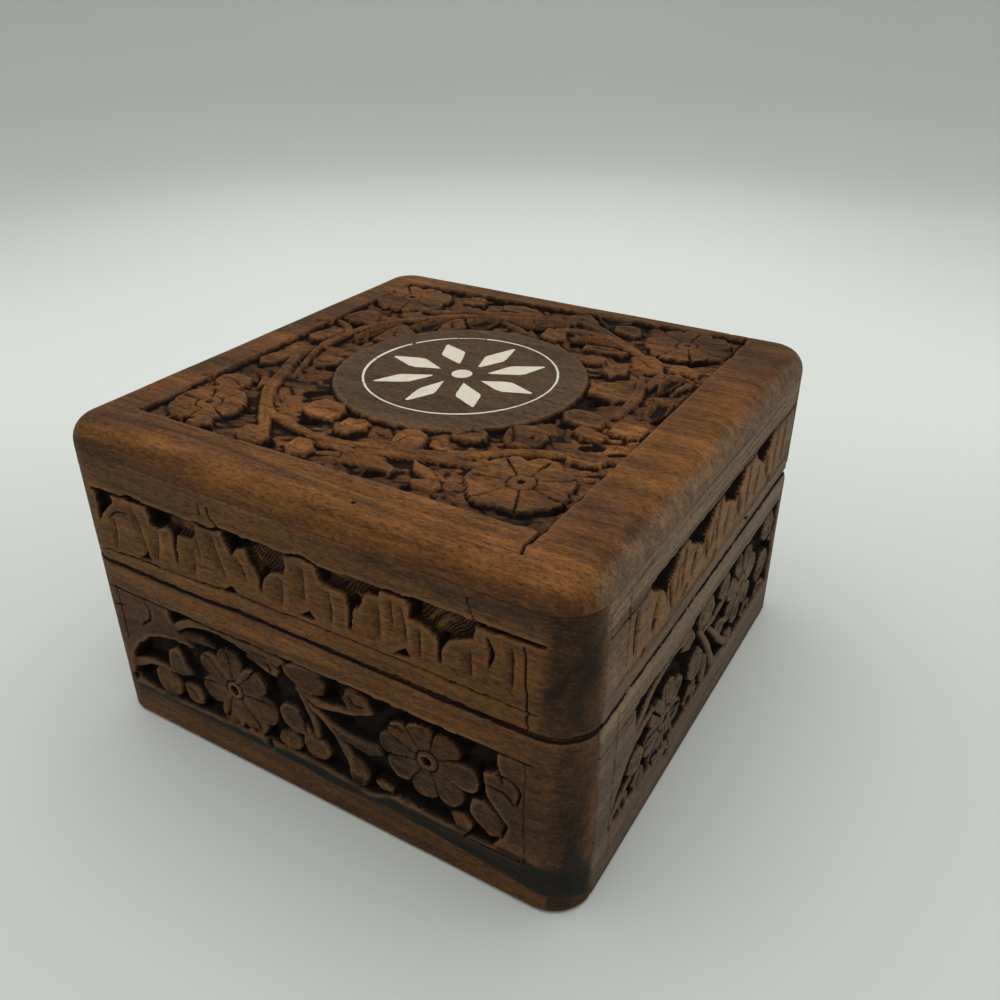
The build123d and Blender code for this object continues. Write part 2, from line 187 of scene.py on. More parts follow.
class Relief:
    """Carving on one face, kept as depth in millimetres below the plain surface."""

    def __init__(self, across, up, seed, eye, wobble=0.12):
        self.axis_u, self.axis_v = across / HUNDREDTH, up / HUNDREDTH
        self.seed, self.eye = seed, eye
        self.count = 0
        u, v = np.meshgrid(self.axis_u, self.axis_v)
        fine = wobble * 0.4
        self.u = u + wobble * noise(u, v, 1.7, 1.7, seed) + fine * noise(u, v, 0.6, 0.6, seed + 7)
        self.v = v + wobble * noise(u, v, 1.7, 1.7, seed + 1) + fine * noise(u, v, 0.6, 0.6, seed + 8)
        self.ground, self.cuts, self.scooped = (np.zeros(u.shape) for _ in range(3))
        self.standing = np.full(u.shape, np.inf)
        self.tints = {name: np.zeros(u.shape) for name in TINTS}

    def behind(self, points, depth):
        """Where drawn points lie at a depth: the drawings were made from where the camera stands."""
        points = np.array(points, float).reshape(-1, 2)
        if self.eye is None:
            return points
        return points - depth / HUNDREDTH * (np.array(self.eye[:2]) - points) / self.eye[2]

    def window(self, low, high):
        """The part of the grid between two corners."""
        c0, c1 = np.searchsorted(self.axis_u, (low[0], high[0]))
        r0, r1 = np.searchsorted(self.axis_v, (low[1], high[1]))
        return slice(r0, r1), slice(c0, c1)

    def stroke(self, points, widths, pad, depth=0.0):
        """Distance inside a line, the share of its length, and the signed share of its half width."""
        line, half = curve(self.behind(points, depth), widths)
        reach = half.max() + pad + 0.3
        win = self.window(line.min(0) - reach, line.max(0) + reach)
        u, v = self.u[win], self.v[win]
        inside = np.full(u.shape, -np.inf)
        along, side = np.zeros(u.shape), np.ones(u.shape)
        for k in range(len(line) - 1):
            step = line[k + 1] - line[k]
            t, du, dv = from_segment(u, v, line[k], step)
            away = np.hypot(du, dv)
            width = half[k] + t * (half[k + 1] - half[k])
            better = width - away > inside
            inside = np.where(better, width - away, inside)
            along = np.where(better, (k + t) / (len(line) - 1), along)
            signed = np.sign(step[0] * dv - step[1] * du) * away / np.maximum(width, 1e-6)
            side = np.where(better, signed, side)
        return win, inside, along, side

    def polygon(self, points, depth=0.0, pad=0.5):
        """Distance inside a polygon, worked out near it."""
        p = self.behind(points, depth)
        win = self.window(p.min(0) - pad, p.max(0) + pad)
        u, v = self.u[win], self.v[win]
        away = np.full(u.shape, np.inf)
        within = np.zeros(u.shape, bool)
        for a, b in zip(p, np.roll(p, -1, axis=0)):
            _, du, dv = from_segment(u, v, a, b - a)
            away = np.minimum(away, np.hypot(du, dv))
            if a[1] != b[1]:
                crosses = (v < a[1]) != (v < b[1])
                within ^= crosses & (u < a[0] + (v - a[1]) * (b[0] - a[0]) / (b[1] - a[1]))
        return win, np.where(within, away, -away)

    def sink(self, points, depth, flank=FLANK, hatch=60, rough=0.3, lines=False):
        """Cuts the ground inside a polygon down to a rough floor, or one scored with fine lines."""
        win, inside = self.polygon(points)
        a, b = turned(self.u[win], self.v[win], hatch)
        other_a, other_b = turned(self.u[win], self.v[win], hatch - 65)
        one = noise(a, b, 3.6, 0.8, self.seed + 21)
        other = noise(other_a, other_b, 3.2, 0.8, self.seed + 23)
        share = smooth(noise(a, b, 3.5, 3.5, self.seed + 25) * 2 + 0.5)
        marks = one * share + other * (1 - share) + 0.9 * noise(a, b, 4.0, 4.0, self.seed + 26)
        raise_to(self.ground, win, np.clip(inside * flank, 0, np.maximum(depth + rough * marks, 0.2)))
        if lines:
            across = LINES_START + b + 0.5 * noise(a, b, 2.4, 1.6, self.seed + 27)
            self.tints["hatch"][win] = np.where(inside > 0.15, across, self.tints["hatch"][win])

    def stand(self, win, depth):
        """Leaves wood standing where it is higher than what stands there."""
        self.standing[win] = np.minimum(self.standing[win], depth)

    def plate(self, points, top=0.3, scoop=0.15, tilt=0.05, edge=0.7, drop=0.3):
        """Leaves a flat plate with a straight cut edge standing, a little tilted and hollowed."""
        self.count += 1
        win, inside = self.polygon(points, top, 3.0 / FLANK)
        middle = self.behind(points, top).mean(0)
        way = self.count * 2.4
        lean = (self.u[win] - middle[0]) * math.cos(way) + (self.v[win] - middle[1]) * math.sin(way)
        depth = np.maximum(top + tilt * lean, 0.02) + scoop * smooth(inside / 1.4)
        depth += drop * (1 - np.clip(inside / edge, 0, 1)) ** 2 - FLANK * np.minimum(inside, 0)
        self.stand(win, depth)

    def hollow(self, points, depth, soft=1.0):
        """A smooth, spoon-shaped hollow cut through whatever stands there."""
        win, inside = self.polygon(points, 0.3, 0.3)
        share = smooth(inside / 0.3)
        self.standing[win] = np.where(share > 0.5, np.minimum(self.standing[win], 0.2), self.standing[win])
        raise_to(self.scooped, win, depth * smooth(inside / soft))

    def deepen(self, points, widths, extra):
        """A deeper, darker place in the ground."""
        win, inside, _, _ = self.stroke(points, widths, 0.2, 1.2)
        self.ground[win] += extra * smooth(inside / 0.8)

    def keep(self, points, top=0.0):
        """Leaves the plain surface standing inside a polygon."""
        win, inside = self.polygon(points, top, 3.0 / FLANK)
        self.stand(win, np.where(inside > 0, top, top - inside * FLANK))

    def lift(self, points, widths, top=0.4, crown=0.0):
        """Leaves a stem or leaf standing in the ground, with its edges eased and its sides lower."""
        win, inside, _, side = self.stroke(points, widths, 3.0 / FLANK, top)
        depth = top + 0.2 * (1 - np.clip(inside / 0.35, 0, 1)) ** 2 + crown * np.clip(abs(side), 0, 1) ** 2
        self.stand(win, np.where(inside < 0, top + 0.2 + crown - inside * FLANK, depth))

    def cut(self, points, widths, depth):
        """A groove or knife line."""
        win, _, _, side = self.stroke(points, np.maximum(widths, 0.19), 0.1, 0.3)
        raise_to(self.cuts, win, depth * np.clip(1 - side**2, 0, 1))

    def engrave(self, *rows):
        """Grooves, each with its points, half widths and depth."""
        for row in rows:
            self.cut(*row)

    def flute(self, points, width, depth):
        """A long gouge stroke that slopes in from the left with painted shade, and ends at a painted
        highlight on its edge.
        """
        win, _, along, side = self.stroke(points, (width * 0.6, width, width * 0.7), 0.3, 0.2)
        ends = np.clip(1 - (2 * along - 1) ** 6, 0, 1)
        shape = np.where(side > 0, np.clip(1 - side, 0, 1), np.clip(1 + 4 * side, 0, 1)) * ends
        raise_to(self.scooped, win, depth * shape)
        raise_to(self.tints["shade"], win, 0.55 * shape)
        raise_to(self.tints["light"], win, 0.8 * np.clip(1 - np.abs(side + 0.4) / 0.35, 0, 1) * ends)

    def tint(self, name, points, widths, amount, soft):
        """Stains the wood along a line; the light and shade tints are painted light and shade."""
        win, inside, _, _ = self.stroke(points, widths, 0.1)
        raise_to(self.tints[name], win, amount * smooth(inside / soft))

    def stains_light_and_shade(self, *rows):
        """Stains and painted light and shade, each with its name, points, half widths, amount and softness.
        """
        for row in rows:
            self.tint(*row)

    def flower(self, x, y, petals, eye=2.0, hole=0.85, top=0.35, girth=2.9, scoop=0.22, slit=0.5):
        """Blunt petals round a raised eye with a drilled middle; petals are angles and reaches."""
        x, y = self.behind((x, y), top)[0]
        pad = max(reach for _, reach in petals) + 1.0
        win = self.window((x - pad, y - pad), (x + pad, y + pad))
        du, dv = self.u[win] - x, self.v[win] - y
        away = np.hypot(du, dv)
        for k, (angle, reach) in enumerate(petals):
            along, side = turned(du, dv, angle)
            shoulder = reach * 0.62
            bend = (along - shoulder) / (reach * 0.38)
            swell = girth * np.where(bend > 0, np.sqrt(np.clip(1 - np.abs(bend) ** 3.2, 0, 1)), 1)
            width = np.where(bend > 0, swell, 0.8 + (girth - 0.8) * np.clip(along / shoulder, 0, 1) ** 0.8)
            inside = np.minimum(width - np.abs(side), np.minimum(reach - along, along)) * 0.9
            level = top + 0.1 * math.sin(k * 2.4 + x) + 0.05 * side * math.sin(k * 1.7 + y)
            hollow = scoop * smooth(inside / 1.2) * smooth(along / reach * 1.6 - 0.3)
            depth = level + hollow + 0.28 * (1 - np.clip(inside / 0.5, 0, 1)) ** 2
            self.stand(win, np.where(inside < 0, level + 0.28 - inside * FLANK, depth))
            following = petals[(k + 1) % len(petals)][0]
            between = math.radians(angle + ((following - angle) % 360) / 2)
            reaches = (eye, reach * 0.55, reach * 0.95)
            ends = [(x + math.cos(between) * r, y + math.sin(between) * r) for r in reaches]
            line_win, _, _, share = self.stroke(ends, (0.14, 0.2, 0.34), 0.1)
            raise_to(self.cuts, line_win, slit * np.clip(1 - share**2, 0, 1))
        button = top - 0.12 + 0.15 * (away / eye) ** 2
        self.stand(win, np.where(away < eye, button, top + 0.03 + (away - eye) * FLANK))
        ring = 0.4 * np.clip(1 - ((away - eye) / 0.28) ** 2, 0, 1)
        drilled = 2.0 * np.clip((hole - away) / 0.2, 0, 1)
        raise_to(self.cuts, win, np.maximum(ring, drilled))

    def surface(self):
        """The finished depth, with knife marks on what stands and a rough floor."""
        chatter = 0.05 * noise(self.u, self.v, 0.7, 0.7, self.seed + 41)
        chatter += 0.05 * noise(self.u, self.v, 2.1, 0.9, self.seed + 42)
        depth = np.minimum(self.ground, self.standing)
        depth = depth + np.maximum(self.cuts, self.scooped) + chatter * smooth((depth - 0.05) / 0.25)
        return np.maximum(depth, 0)


def dirt_shade_and_wear(depth, cuts, pitch, clean=0.7, deep=2.0):
    """How dark the hollows are with dirt and painted shade, how rubbed the edges are, and where the tools
    have been.
    """
    near = depth - blurred(depth, max(1, round(0.4 / pitch)))
    wide = depth - blurred(depth, max(2, round(1.6 / pitch)))
    steep = np.hypot(*np.gradient(depth)) / pitch
    # Dirt and painted shade together: darker the deeper and the more hollow a place lies, darker on steep
    # cut sides and in cuts and grooves
    dirt_and_shade = smooth((depth - clean) / (deep - clean)) + 2.4 * np.clip(near, 0, 0.5)
    dirt_and_shade += 0.45 * np.clip(wide, 0, 0.8)
    dirt_and_shade = np.clip(np.maximum(dirt_and_shade + 0.22 * np.clip(steep - 0.7, 0, 3), cuts * 2.2), 0, 1)
    wear = np.clip(-near * 2.6, 0, 1) * (1 - dirt_and_shade) * (1 - smooth((depth - 0.35) / 0.3))
    tooled, floor = smooth((depth - 0.2) / 0.3), smooth((depth - 0.75) / 0.35)
    return {"dirt_and_shade": dirt_and_shade, "wear": wear, "tooled": tooled, "floor": floor}


FRONT_FLOWER = [(96, 8.8), (36, 8.6), (-17, 9.8), (-57, 9.6), (-104, 9.2), (204, 8.6), (147, 8.8)]
SECOND_FLOWER = [
    (0, 9.4), (50, 7.8), (106, 7.2), (148, 8.2), (180, 9.4), (215, 8.8), (262, 8.2), (309, 8.8),
]


def front_base(relief):
    """The flower panel on the front of the base."""
    relief.sink(
        [
            -43.9, 9, -43, 13.5, -42.4, 16, -36, 21.6, -31, 30, 43, 30, 41.8, 9.4, 27, 9.6, 18, 10.2, 12, 8,
            0, 9.2, -22, 8.4, -38, 7.8,
        ],
        2.3,
    )
    for points in (
        [
            -45, 14, -42.4, 15.2, -40, 18.5, -37.8, 20.5, -34, 22, -30, 22.9, -25.4, 22.9, -28.6, 24.9,
            -30.3, 27.4, -30.5, 31, -45, 31,
        ],
        [-24, 31, -22.4, 28.9, -14, 29, -12.6, 28.2, -8, 28.4, -5.2, 27.2, -3.8, 28.6, -4.6, 31],
        [
            36.8, 30.6, 36.6, 27.6, 36.8, 25.8, 34.4, 24.4, 34.9, 20.2, 36, 18.6, 38.6, 15.8, 37.8, 12.6,
            36, 9.8, 44, 8.4, 44, 30.8,
        ],
    ):
        relief.keep(points, 0.06)
    relief.lift(
        [-31, 24.2, -28.6, 26.2, -25.6, 28.2, -20, 29.3, -15, 28.9, -11.6, 27.8],
        (0.3, 0.8, 0.8, 0.7, 0.9, 0.6), 0.15, crown=0.15,
    )
    relief.lift([-30.2, 23.9, -26.5, 25, -22.5, 25.4, -19.8, 25.2], (0.5, 1.1, 1, 0.3), 0.5, crown=0.25)
    relief.lift(
        [-44, 12, -41.4, 13, -38.4, 14.4, -35, 15, -31.6, 15], (1.1, 1, 0.8, 0.6, 0.4), 0.35, crown=0.2,
    )
    relief.flower(-16.3, 17.4, FRONT_FLOWER, eye=1.9, hole=0.95, girth=2.8, scoop=0.45)
    relief.flower(24.3, 21.5, SECOND_FLOWER, eye=2, hole=0.85, girth=2.6, scoop=0.4)
    for points in (
        [-12.4, 26.4, -12, 28.2, -9.5, 28.8, -7, 28, -5, 26.5, -5.6, 24.8, -8, 25.2, -10.4, 25.7],
        [
            -33, 16.5, -32.3, 19.5, -30, 21.3, -28.8, 20.2, -28.2, 17.5, -26.9, 15.8, -29, 14.8, -31, 14.4,
            -32.8, 15.2,
        ],
        [
            -37.2, 13, -36.5, 14.2, -34, 14.8, -31.8, 13.6, -30.8, 12, -31, 9.8, -32.8, 8.4, -35.5, 8.6,
            -37, 10.3,
        ],
        [-30, 12.8, -28, 13.6, -25.8, 13.2, -25, 11.5, -25.5, 9.8, -27.5, 9, -29.3, 9.6, -30, 11],
        [-5.8, 16, -6.2, 18, -4.8, 19.8, -2.5, 20, -0.9, 18.8, -0.4, 16, -1, 13.9, -3.5, 13.6, -5.2, 15],
        [-7.3, 11, -6.5, 12.8, -4, 13.5, -2.4, 12.9, -2, 11, -3, 9.8, -5.5, 9.5, -7, 10.1],
        [
            -1.6, 12.2, -1.2, 15.4, -0.2, 17.2, 0.8, 15.6, 2, 14.6, 3.4, 15.2, 4.6, 13, 3.4, 10.6, 0.8, 9.6,
            -1.2, 10.4,
        ],
        [-4, 28.3, -1, 29.9, 3, 29.6, 4.6, 27.6, 4, 25.1, 1.5, 24.1, -1, 24.7, -3.5, 26.8],
        [8, 26.4, 8.8, 28.9, 10.5, 29.6, 13, 28.2, 14.3, 26, 12.6, 25, 9.6, 24.1],
        [5, 20.3, 9, 19.3, 15, 19.7, 15.4, 17.7, 13, 16.4, 10, 16.7, 7.2, 17.6],
        [9.6, 14.4, 11.4, 13.6, 12.3, 12.1, 11.8, 9.5, 10.5, 7.9, 9.1, 8.2, 8.2, 10.4, 8.3, 13],
        [13.4, 11.2, 14.6, 12.2, 17.2, 11.6, 17, 10.4, 14.4, 10.1],
        [
            31.9, 16.2, 32.4, 18.2, 34.4, 18.7, 36.4, 16.9, 38.1, 15.3, 37.5, 12.2, 35.4, 11.3, 33.2, 13,
            32, 14.8,
        ],
        [28.2, 12.6, 30.8, 13.4, 32.4, 12, 31.7, 9.8, 29.4, 10],
        [34.9, 23.2, 36.8, 25.1, 38.8, 25.1, 40.5, 23.4, 39.9, 20.9, 36.4, 19.9, 35.3, 20.6],
        [37.3, 26.3, 37.4, 28.3, 38.8, 29.2, 40.8, 28.6, 40.8, 26.6, 38.8, 26],
    ):
        relief.plate(points, 0.35)
    relief.lift([-0.9, 24.6, 0.3, 21.6, 1.5, 19, 2, 15.6], (0.6, 0.8, 0.8, 0.7), 0.3, crown=0.2)
    relief.lift([0.8, 22, 4, 20, 6.6, 17.4, 8.4, 14, 9.2, 11.6], (0.5, 0.7, 0.9, 1, 0.8), 0.2, crown=0.25)
    relief.lift([-1.6, 24.4, 3, 23.1, 8, 23.9, 11.4, 24.9], (0.4, 0.8, 0.7, 0.3), 0.3, crown=0.2)
    for path in (
        [36.9, 29.8, 36.7, 27.2, 37.9, 24.3], [36.8, 25.5, 38.5, 25.6, 40.1, 24.9, 40.8, 23.4, 40.2, 21.1],
        [33, 18.9, 35.5, 18.2, 37.2, 16.8, 38.5, 15.6, 37.7, 12.9], [31, 13.5, 32.7, 11.9, 31, 9.1],
        [-35.8, 29.9, -35.1, 28.6, -34.9, 27, -35.4, 25.4, -37.4, 23.6], [-8, 27.2, -7.2, 26.4, -6.8, 25.6],
        [-1.6, 18.9, -0.8, 17.2, -0.6, 15], [9.3, 27.4, 10.2, 26.2, 12.4, 26.4],
        [35.1, 22.6, 38, 22.4, 39.8, 20.8], [-28.8, 12.4, -27.6, 11.2, -26.6, 10.6],
        [16, 24.6, 17.8, 25.3, 19.6, 25],
    ):
        relief.cut(path, (0.16, 0.36, 0.16), 0.7)
    for path, width in (
        ([-29.4, 29.4, -27, 29.2], 1.6), ([-26, 26.4, -21, 27.3], 0.7),
        ([-13.6, 26.4, -8.6, 23.6, -7.4, 21], 1.4), ([-40, 17, -38.2, 19.2], 1.4),
        ([-42.6, 9.8, -38.8, 12.4], 1.1), ([-24.4, 11.2, -20.8, 12.4], 1.2), ([5.6, 25.8, 6.2, 29.4], 1.4),
        ([5, 21.4, 9, 21.6], 0.8), ([13.6, 13.6, 19.2, 13.2], 1.9), ([20.4, 12, 26.4, 12.9], 1.1),
        ([33.9, 22, 33.6, 19.4], 0.8), ([0.2, 19.6, 0.4, 17.6], 0.7), ([3.2, 19, 4.6, 15.6], 1.2),
        ([-9.2, 11.2, -8.2, 9.6], 1), ([14.6, 27.4, 16, 28.8], 1.2), ([31.2, 27.6, 32.6, 29.8], 1),
    ):
        relief.deepen(path, width, 0.9)
    relief.engrave(
        ([-44.2, 25.7, -41.2, 26.6], (0.2, 0.3, 0.1), 0.6),
        ([-42.6, 30.6, -42.4, 25, -42.5, 18.6], (0.12, 0.16, 0.1), 0.45),
        ([-44, 30.1, -20, 30, 0, 29.9, 20, 30, 43, 30.3], (0.16, 0.2, 0.18, 0.24, 0.1), 1),
        ([41.5, 30, 41.4, 20, 41.6, 9.4], (0.1, 0.14, 0.1), 0.3),
        ([32, 9.5, 37, 9.3, 41, 9.5], (0.12, 0.24, 0.08), 0.6),
    )
    tint_base(relief)


def tint_base(relief):
    """Dark and rusty grain below the front panel, greyer petals in it, and rows of painted light and shade.
    """
    for points, widths, amount in (
        (
            [-46, 6.6, -30, 7.6, -12, 7.6, 4, 8.2, 14, 8.2, 24, 7.8, 40, 7.2, 54, 5.6],
            (0.8, 1.3, 1.2, 1.9, 1.8, 2, 2.9, 3.6), 1,
        ),
        ([16, 8.8, 28, 9.2, 40, 9, 46, 8.6], (0.6, 1.3, 1.6, 1.2), 1),
        ([-2, 8.6, 6, 9.6, 14, 9], (0.4, 1.2, 0.5), 1),
        (
            [-8, 6, 8, 5.8, 16, 6.8, 22, 6, 28, 6.6, 36, 5.4, 50, 4.2],
            (0.1, 0.22, 0.3, 0.25, 0.35, 0.4, 0.5), 0.9,
        ),
        ([6, 7.4, 16, 7.9, 24, 7.2, 34, 6.8, 46, 6.4], (0.1, 0.2, 0.25, 0.3, 0.4), 1),
        ([10, 9.2, 22, 9.2, 32, 8.6, 44, 9.4, 53, 9.4], (0.2, 0.5, 0.6, 0.9, 1.6), 0.7),
        ([4, 2.9, 16, 3.1, 26, 2.6, 40, 2.3, 52, 1.8], (0.1, 0.2, 0.24, 0.2, 0.3), 0.6),
        ([-34, 2.2, -14, 2.9, 2, 2.4], (0.1, 0.2, 0.12), 0.5),
        ([-42, 5, -24, 4.2, -6, 4.8], (0.15, 0.25, 0.15), 0.5),
        ([-6, 7.4, 4, 8, 18, 8.2], (0.8, 2.5, 1.8), 1),
        ([47.2, 1.5, 49.2, 8, 48.4, 16], (2.4, 2.6, 0.8), 0.75),
    ):
        relief.tint("black", points, widths, amount, 0.7)
    relief.stains_light_and_shade(
        ("ochre", [-44, 3.4, -20, 3, 5, 4.4, 30, 3, 46, 1.6], (2.2, 2, 2, 1.8, 1.2), 0.8, 1.4),
        ("ochre", [-44, 33, 0, 33, 41, 33], 2.6, 0.5, 1.5),
        ("light", [-44, 32.6, -20, 32.8, 0, 33, 8, 33], (2.8, 2.6, 1.8, 0.8), 0.75, 0.8),
        ("grey", [-40, 14, -12, 16, 10, 17, 34, 18], (7, 8.5, 8, 7), 0.15, 4),
        ("shade", [-40, 16, -10, 18, 6, 19], (9, 12, 12), 0.47, 2.5),
        ("shade", [10, 19, 34, 20], (12, 10), 0.26, 2.5),
        ("shade", [-10, 4, 10, 3.4, 30, 3.2, 50, 3.2], (3, 5, 5, 5), 0.45, 3),
        ("shade", [-4, 8.2, 6, 8.6, 18, 8.8], (2, 2.8, 1.8), 0.7, 1.2),
        ("shade", [-6, 16, 4, 18, 10, 20], (6, 8, 6), 0.55, 3),
        ("shade", [49, 2, 48.4, 14, 49, 34], (5.5, 4, 4), 0.55, 2.5),
    )


def right_base(relief):
    """The flower panel on the right of the base."""
    relief.sink(
        [-38.6, 9.6, -38.6, 17, -31, 24, -31, 29.8, 42, 29.8, 42, 9.4, 20, 8.8, 0, 8.6, -24, 8.4], 2.3,
        hatch=-50,
    )
    for points in (
        [-40, 11.5, -38.4, 12.4, -36.5, 15.5, -34, 18.6, -29, 21.5, -30.4, 25, -30.8, 31, -40, 31],
        [-22.5, 31, -21, 28.8, -14, 28.8, -11, 28, -7, 28.4, -5, 31],
    ):
        relief.keep(points, 0.05)
    relief.lift(
        [-39, 11, -35.4, 16.6, -31.4, 20.4, -27, 21.8, -22.5, 22.6], (0.7, 1, 1.1, 0.8, 0.4), 0.15,
        crown=0.3,
    )
    relief.lift(
        [-31, 23.2, -27.5, 24.8, -23, 27.4, -15, 28.6, -9.6, 27.4], (0.4, 0.8, 0.7, 0.8, 0.6), 0.2,
        crown=0.3,
    )
    relief.lift([-40, 9.2, -36.5, 11.6, -33, 13.4, -30, 13.6], (0.6, 0.7, 0.6, 0.4), 0.3, crown=0.2)
    relief.flower(
        -16.7, 16, [(80, 8.2), (28, 8.4), (-24, 8.8), (-66, 8.6), (240, 8.8), (188, 8.6), (135, 8.8)],
        eye=2.5, hole=1, girth=2.45, scoop=0.5, slit=1,
    )
    relief.flower(
        21, 21, [(10, 9), (62, 8.2), (112, 8), (160, 8.6), (212, 8.8), (262, 8.8), (314, 9)], eye=2.4,
        hole=0.9, girth=2.45, scoop=0.5, slit=1,
    )
    for points in (
        [-31.4, 15.4, -29.8, 18.2, -27.2, 18.6, -25.4, 16.6, -26.6, 13.8, -29.6, 13.6],
        [-35, 11.6, -33.4, 12.8, -31, 12.2, -30.6, 9.8, -33.4, 8.8],
        [-29.4, 11.4, -27, 12.8, -24.2, 11.8, -24.4, 9.4, -27.6, 8.8],
        [-10.6, 25.6, -9, 27.8, -6, 27.6, -4.8, 25.4, -7.4, 24.2],
        [-36, 24.6, -34.6, 26.6, -31.8, 26.4, -31.4, 24.6, -33.6, 24],
        [-5.8, 16.4, -5, 20, -1.6, 21, 1.2, 18.2, 0, 14.6, -3.4, 14.2],
        [-6.6, 11.2, -4.6, 13.6, -1.4, 13.2, -0.4, 10.6, -2.6, 8.8, -5.6, 9.2],
        [1.4, 12.6, 2, 16.8, 4.2, 15.2, 5.2, 11.8, 3.6, 9.4, 1.8, 10.2],
        [-3, 27.2, -1.2, 29.6, 3.2, 29.6, 4.8, 26.4, 2.2, 24.4, -1.8, 24.8],
        [7.4, 25.8, 8.8, 29.2, 12.4, 28.8, 13.8, 25.6, 10.2, 23.8],
        [6.4, 19, 11, 19.2, 13.8, 17.2, 11.2, 15.4, 7.6, 16.4],
        [13.6, 11, 15, 12.8, 18.4, 12.2, 18.6, 10, 15.2, 9.4],
        [24.4, 11, 26.6, 12.8, 30.2, 12, 29.8, 9.6, 26.2, 9.2],
        [32.8, 25.2, 34, 28.6, 38.2, 29, 40.2, 26.2, 38, 23.6, 34.4, 23.4],
        [32.2, 16.6, 33.4, 20.2, 37.2, 20.4, 39.6, 17.2, 38, 13.6, 34.2, 13.2],
        [38.6, 21.4, 39.4, 23.2, 41.4, 22.6, 41, 20.4], [33.4, 10.2, 35.6, 12.4, 39.4, 11.6, 39.2, 9.6],
    ):
        relief.plate(points, 0.3, scoop=0.45, edge=0.3)
    relief.lift([-2, 24.6, 2, 20, 6, 14.6, 9.4, 9.2], (0.5, 0.8, 0.9, 1.2), 0.2, crown=0.3)
    relief.lift([3.5, 21.6, 8.5, 17, 13.5, 12, 19, 8.2], (0.5, 0.8, 0.8, 0.6), 0.25, crown=0.3)
    relief.lift([0, 23.4, 6, 22.6, 13, 24], (0.5, 0.8, 0.5), 0.3, crown=0.2)
    for path, width in (
        ([-29, 28, -25.5, 28.8], 1.7), ([-28, 20, -24.5, 21.5], 1.2), ([-33.5, 17, -32, 15.4], 1),
        ([-11, 25, -6, 21.5], 1.2), ([-18.5, 9.6, -17, 8.8], 1), ([5, 20, 2, 24], 1.3),
        ([11, 21.5, 13, 25.4], 1.3), ([7, 12.6, 11, 13], 1.4), ([30, 14.6, 31.6, 20], 1.2),
    ):
        relief.deepen(path, width, 0.9)
    relief.engrave(
        ([-2.6, 12.2, -1.4, 12.3], 0.5, 1.2),
        ([-44, 30.2, -20, 29.8, 0, 29.6, 44, 29.8], (0.14, 0.2, 0.24, 0.16), 0.8),
        ([-38.2, 34.5, -38.6, 20, -38.3, 6], (0.14, 0.22, 0.14), 0.5),
    )
    relief.stains_light_and_shade(
        ("grey", [-46, 17, 0, 17, 44, 17], 17, 1, 4),
        ("shade", [-36, 19, 0, 19, 42, 19], (11, 12, 12), 0.2, 1.5),
        ("light", [-42, 33.6, 0, 33.6, 44, 33.6], 2.6, 0.7, 0.9),
        ("grey", [-42, 33.6, 0, 33.6, 44, 33.6], 2.6, 1, 0.9), ("shade", [-42, 3, 0, 3, 44, 3], 5, 0.25, 3),
        ("black", [-30, 6.5, 0, 7.4, 30, 6.4], (0.3, 0.8, 0.4), 0.5, 0.8),
    )


def band_grounds(relief, pockets, drips, notches):
    """Hatched and deep pockets in a lid band, with drips below them and notches on the lower line."""
    for points, depth in pockets:
        relief.sink(points, depth, flank=7, hatch=48, rough=0.25, lines=depth < 1.5)
    for x, top, bottom in drips:
        relief.cut([x + 0.5, top, x + 0.05, (top + bottom) / 2, x - 0.1, bottom], (0.7, 0.34, 0.34), 1.5)
    for x, y in notches:
        relief.sink([x - 2.4, y - 1.9, x + 0.1, y, x + 1.2, y - 1.2, x + 0.2, y - 1.7], 1.5)


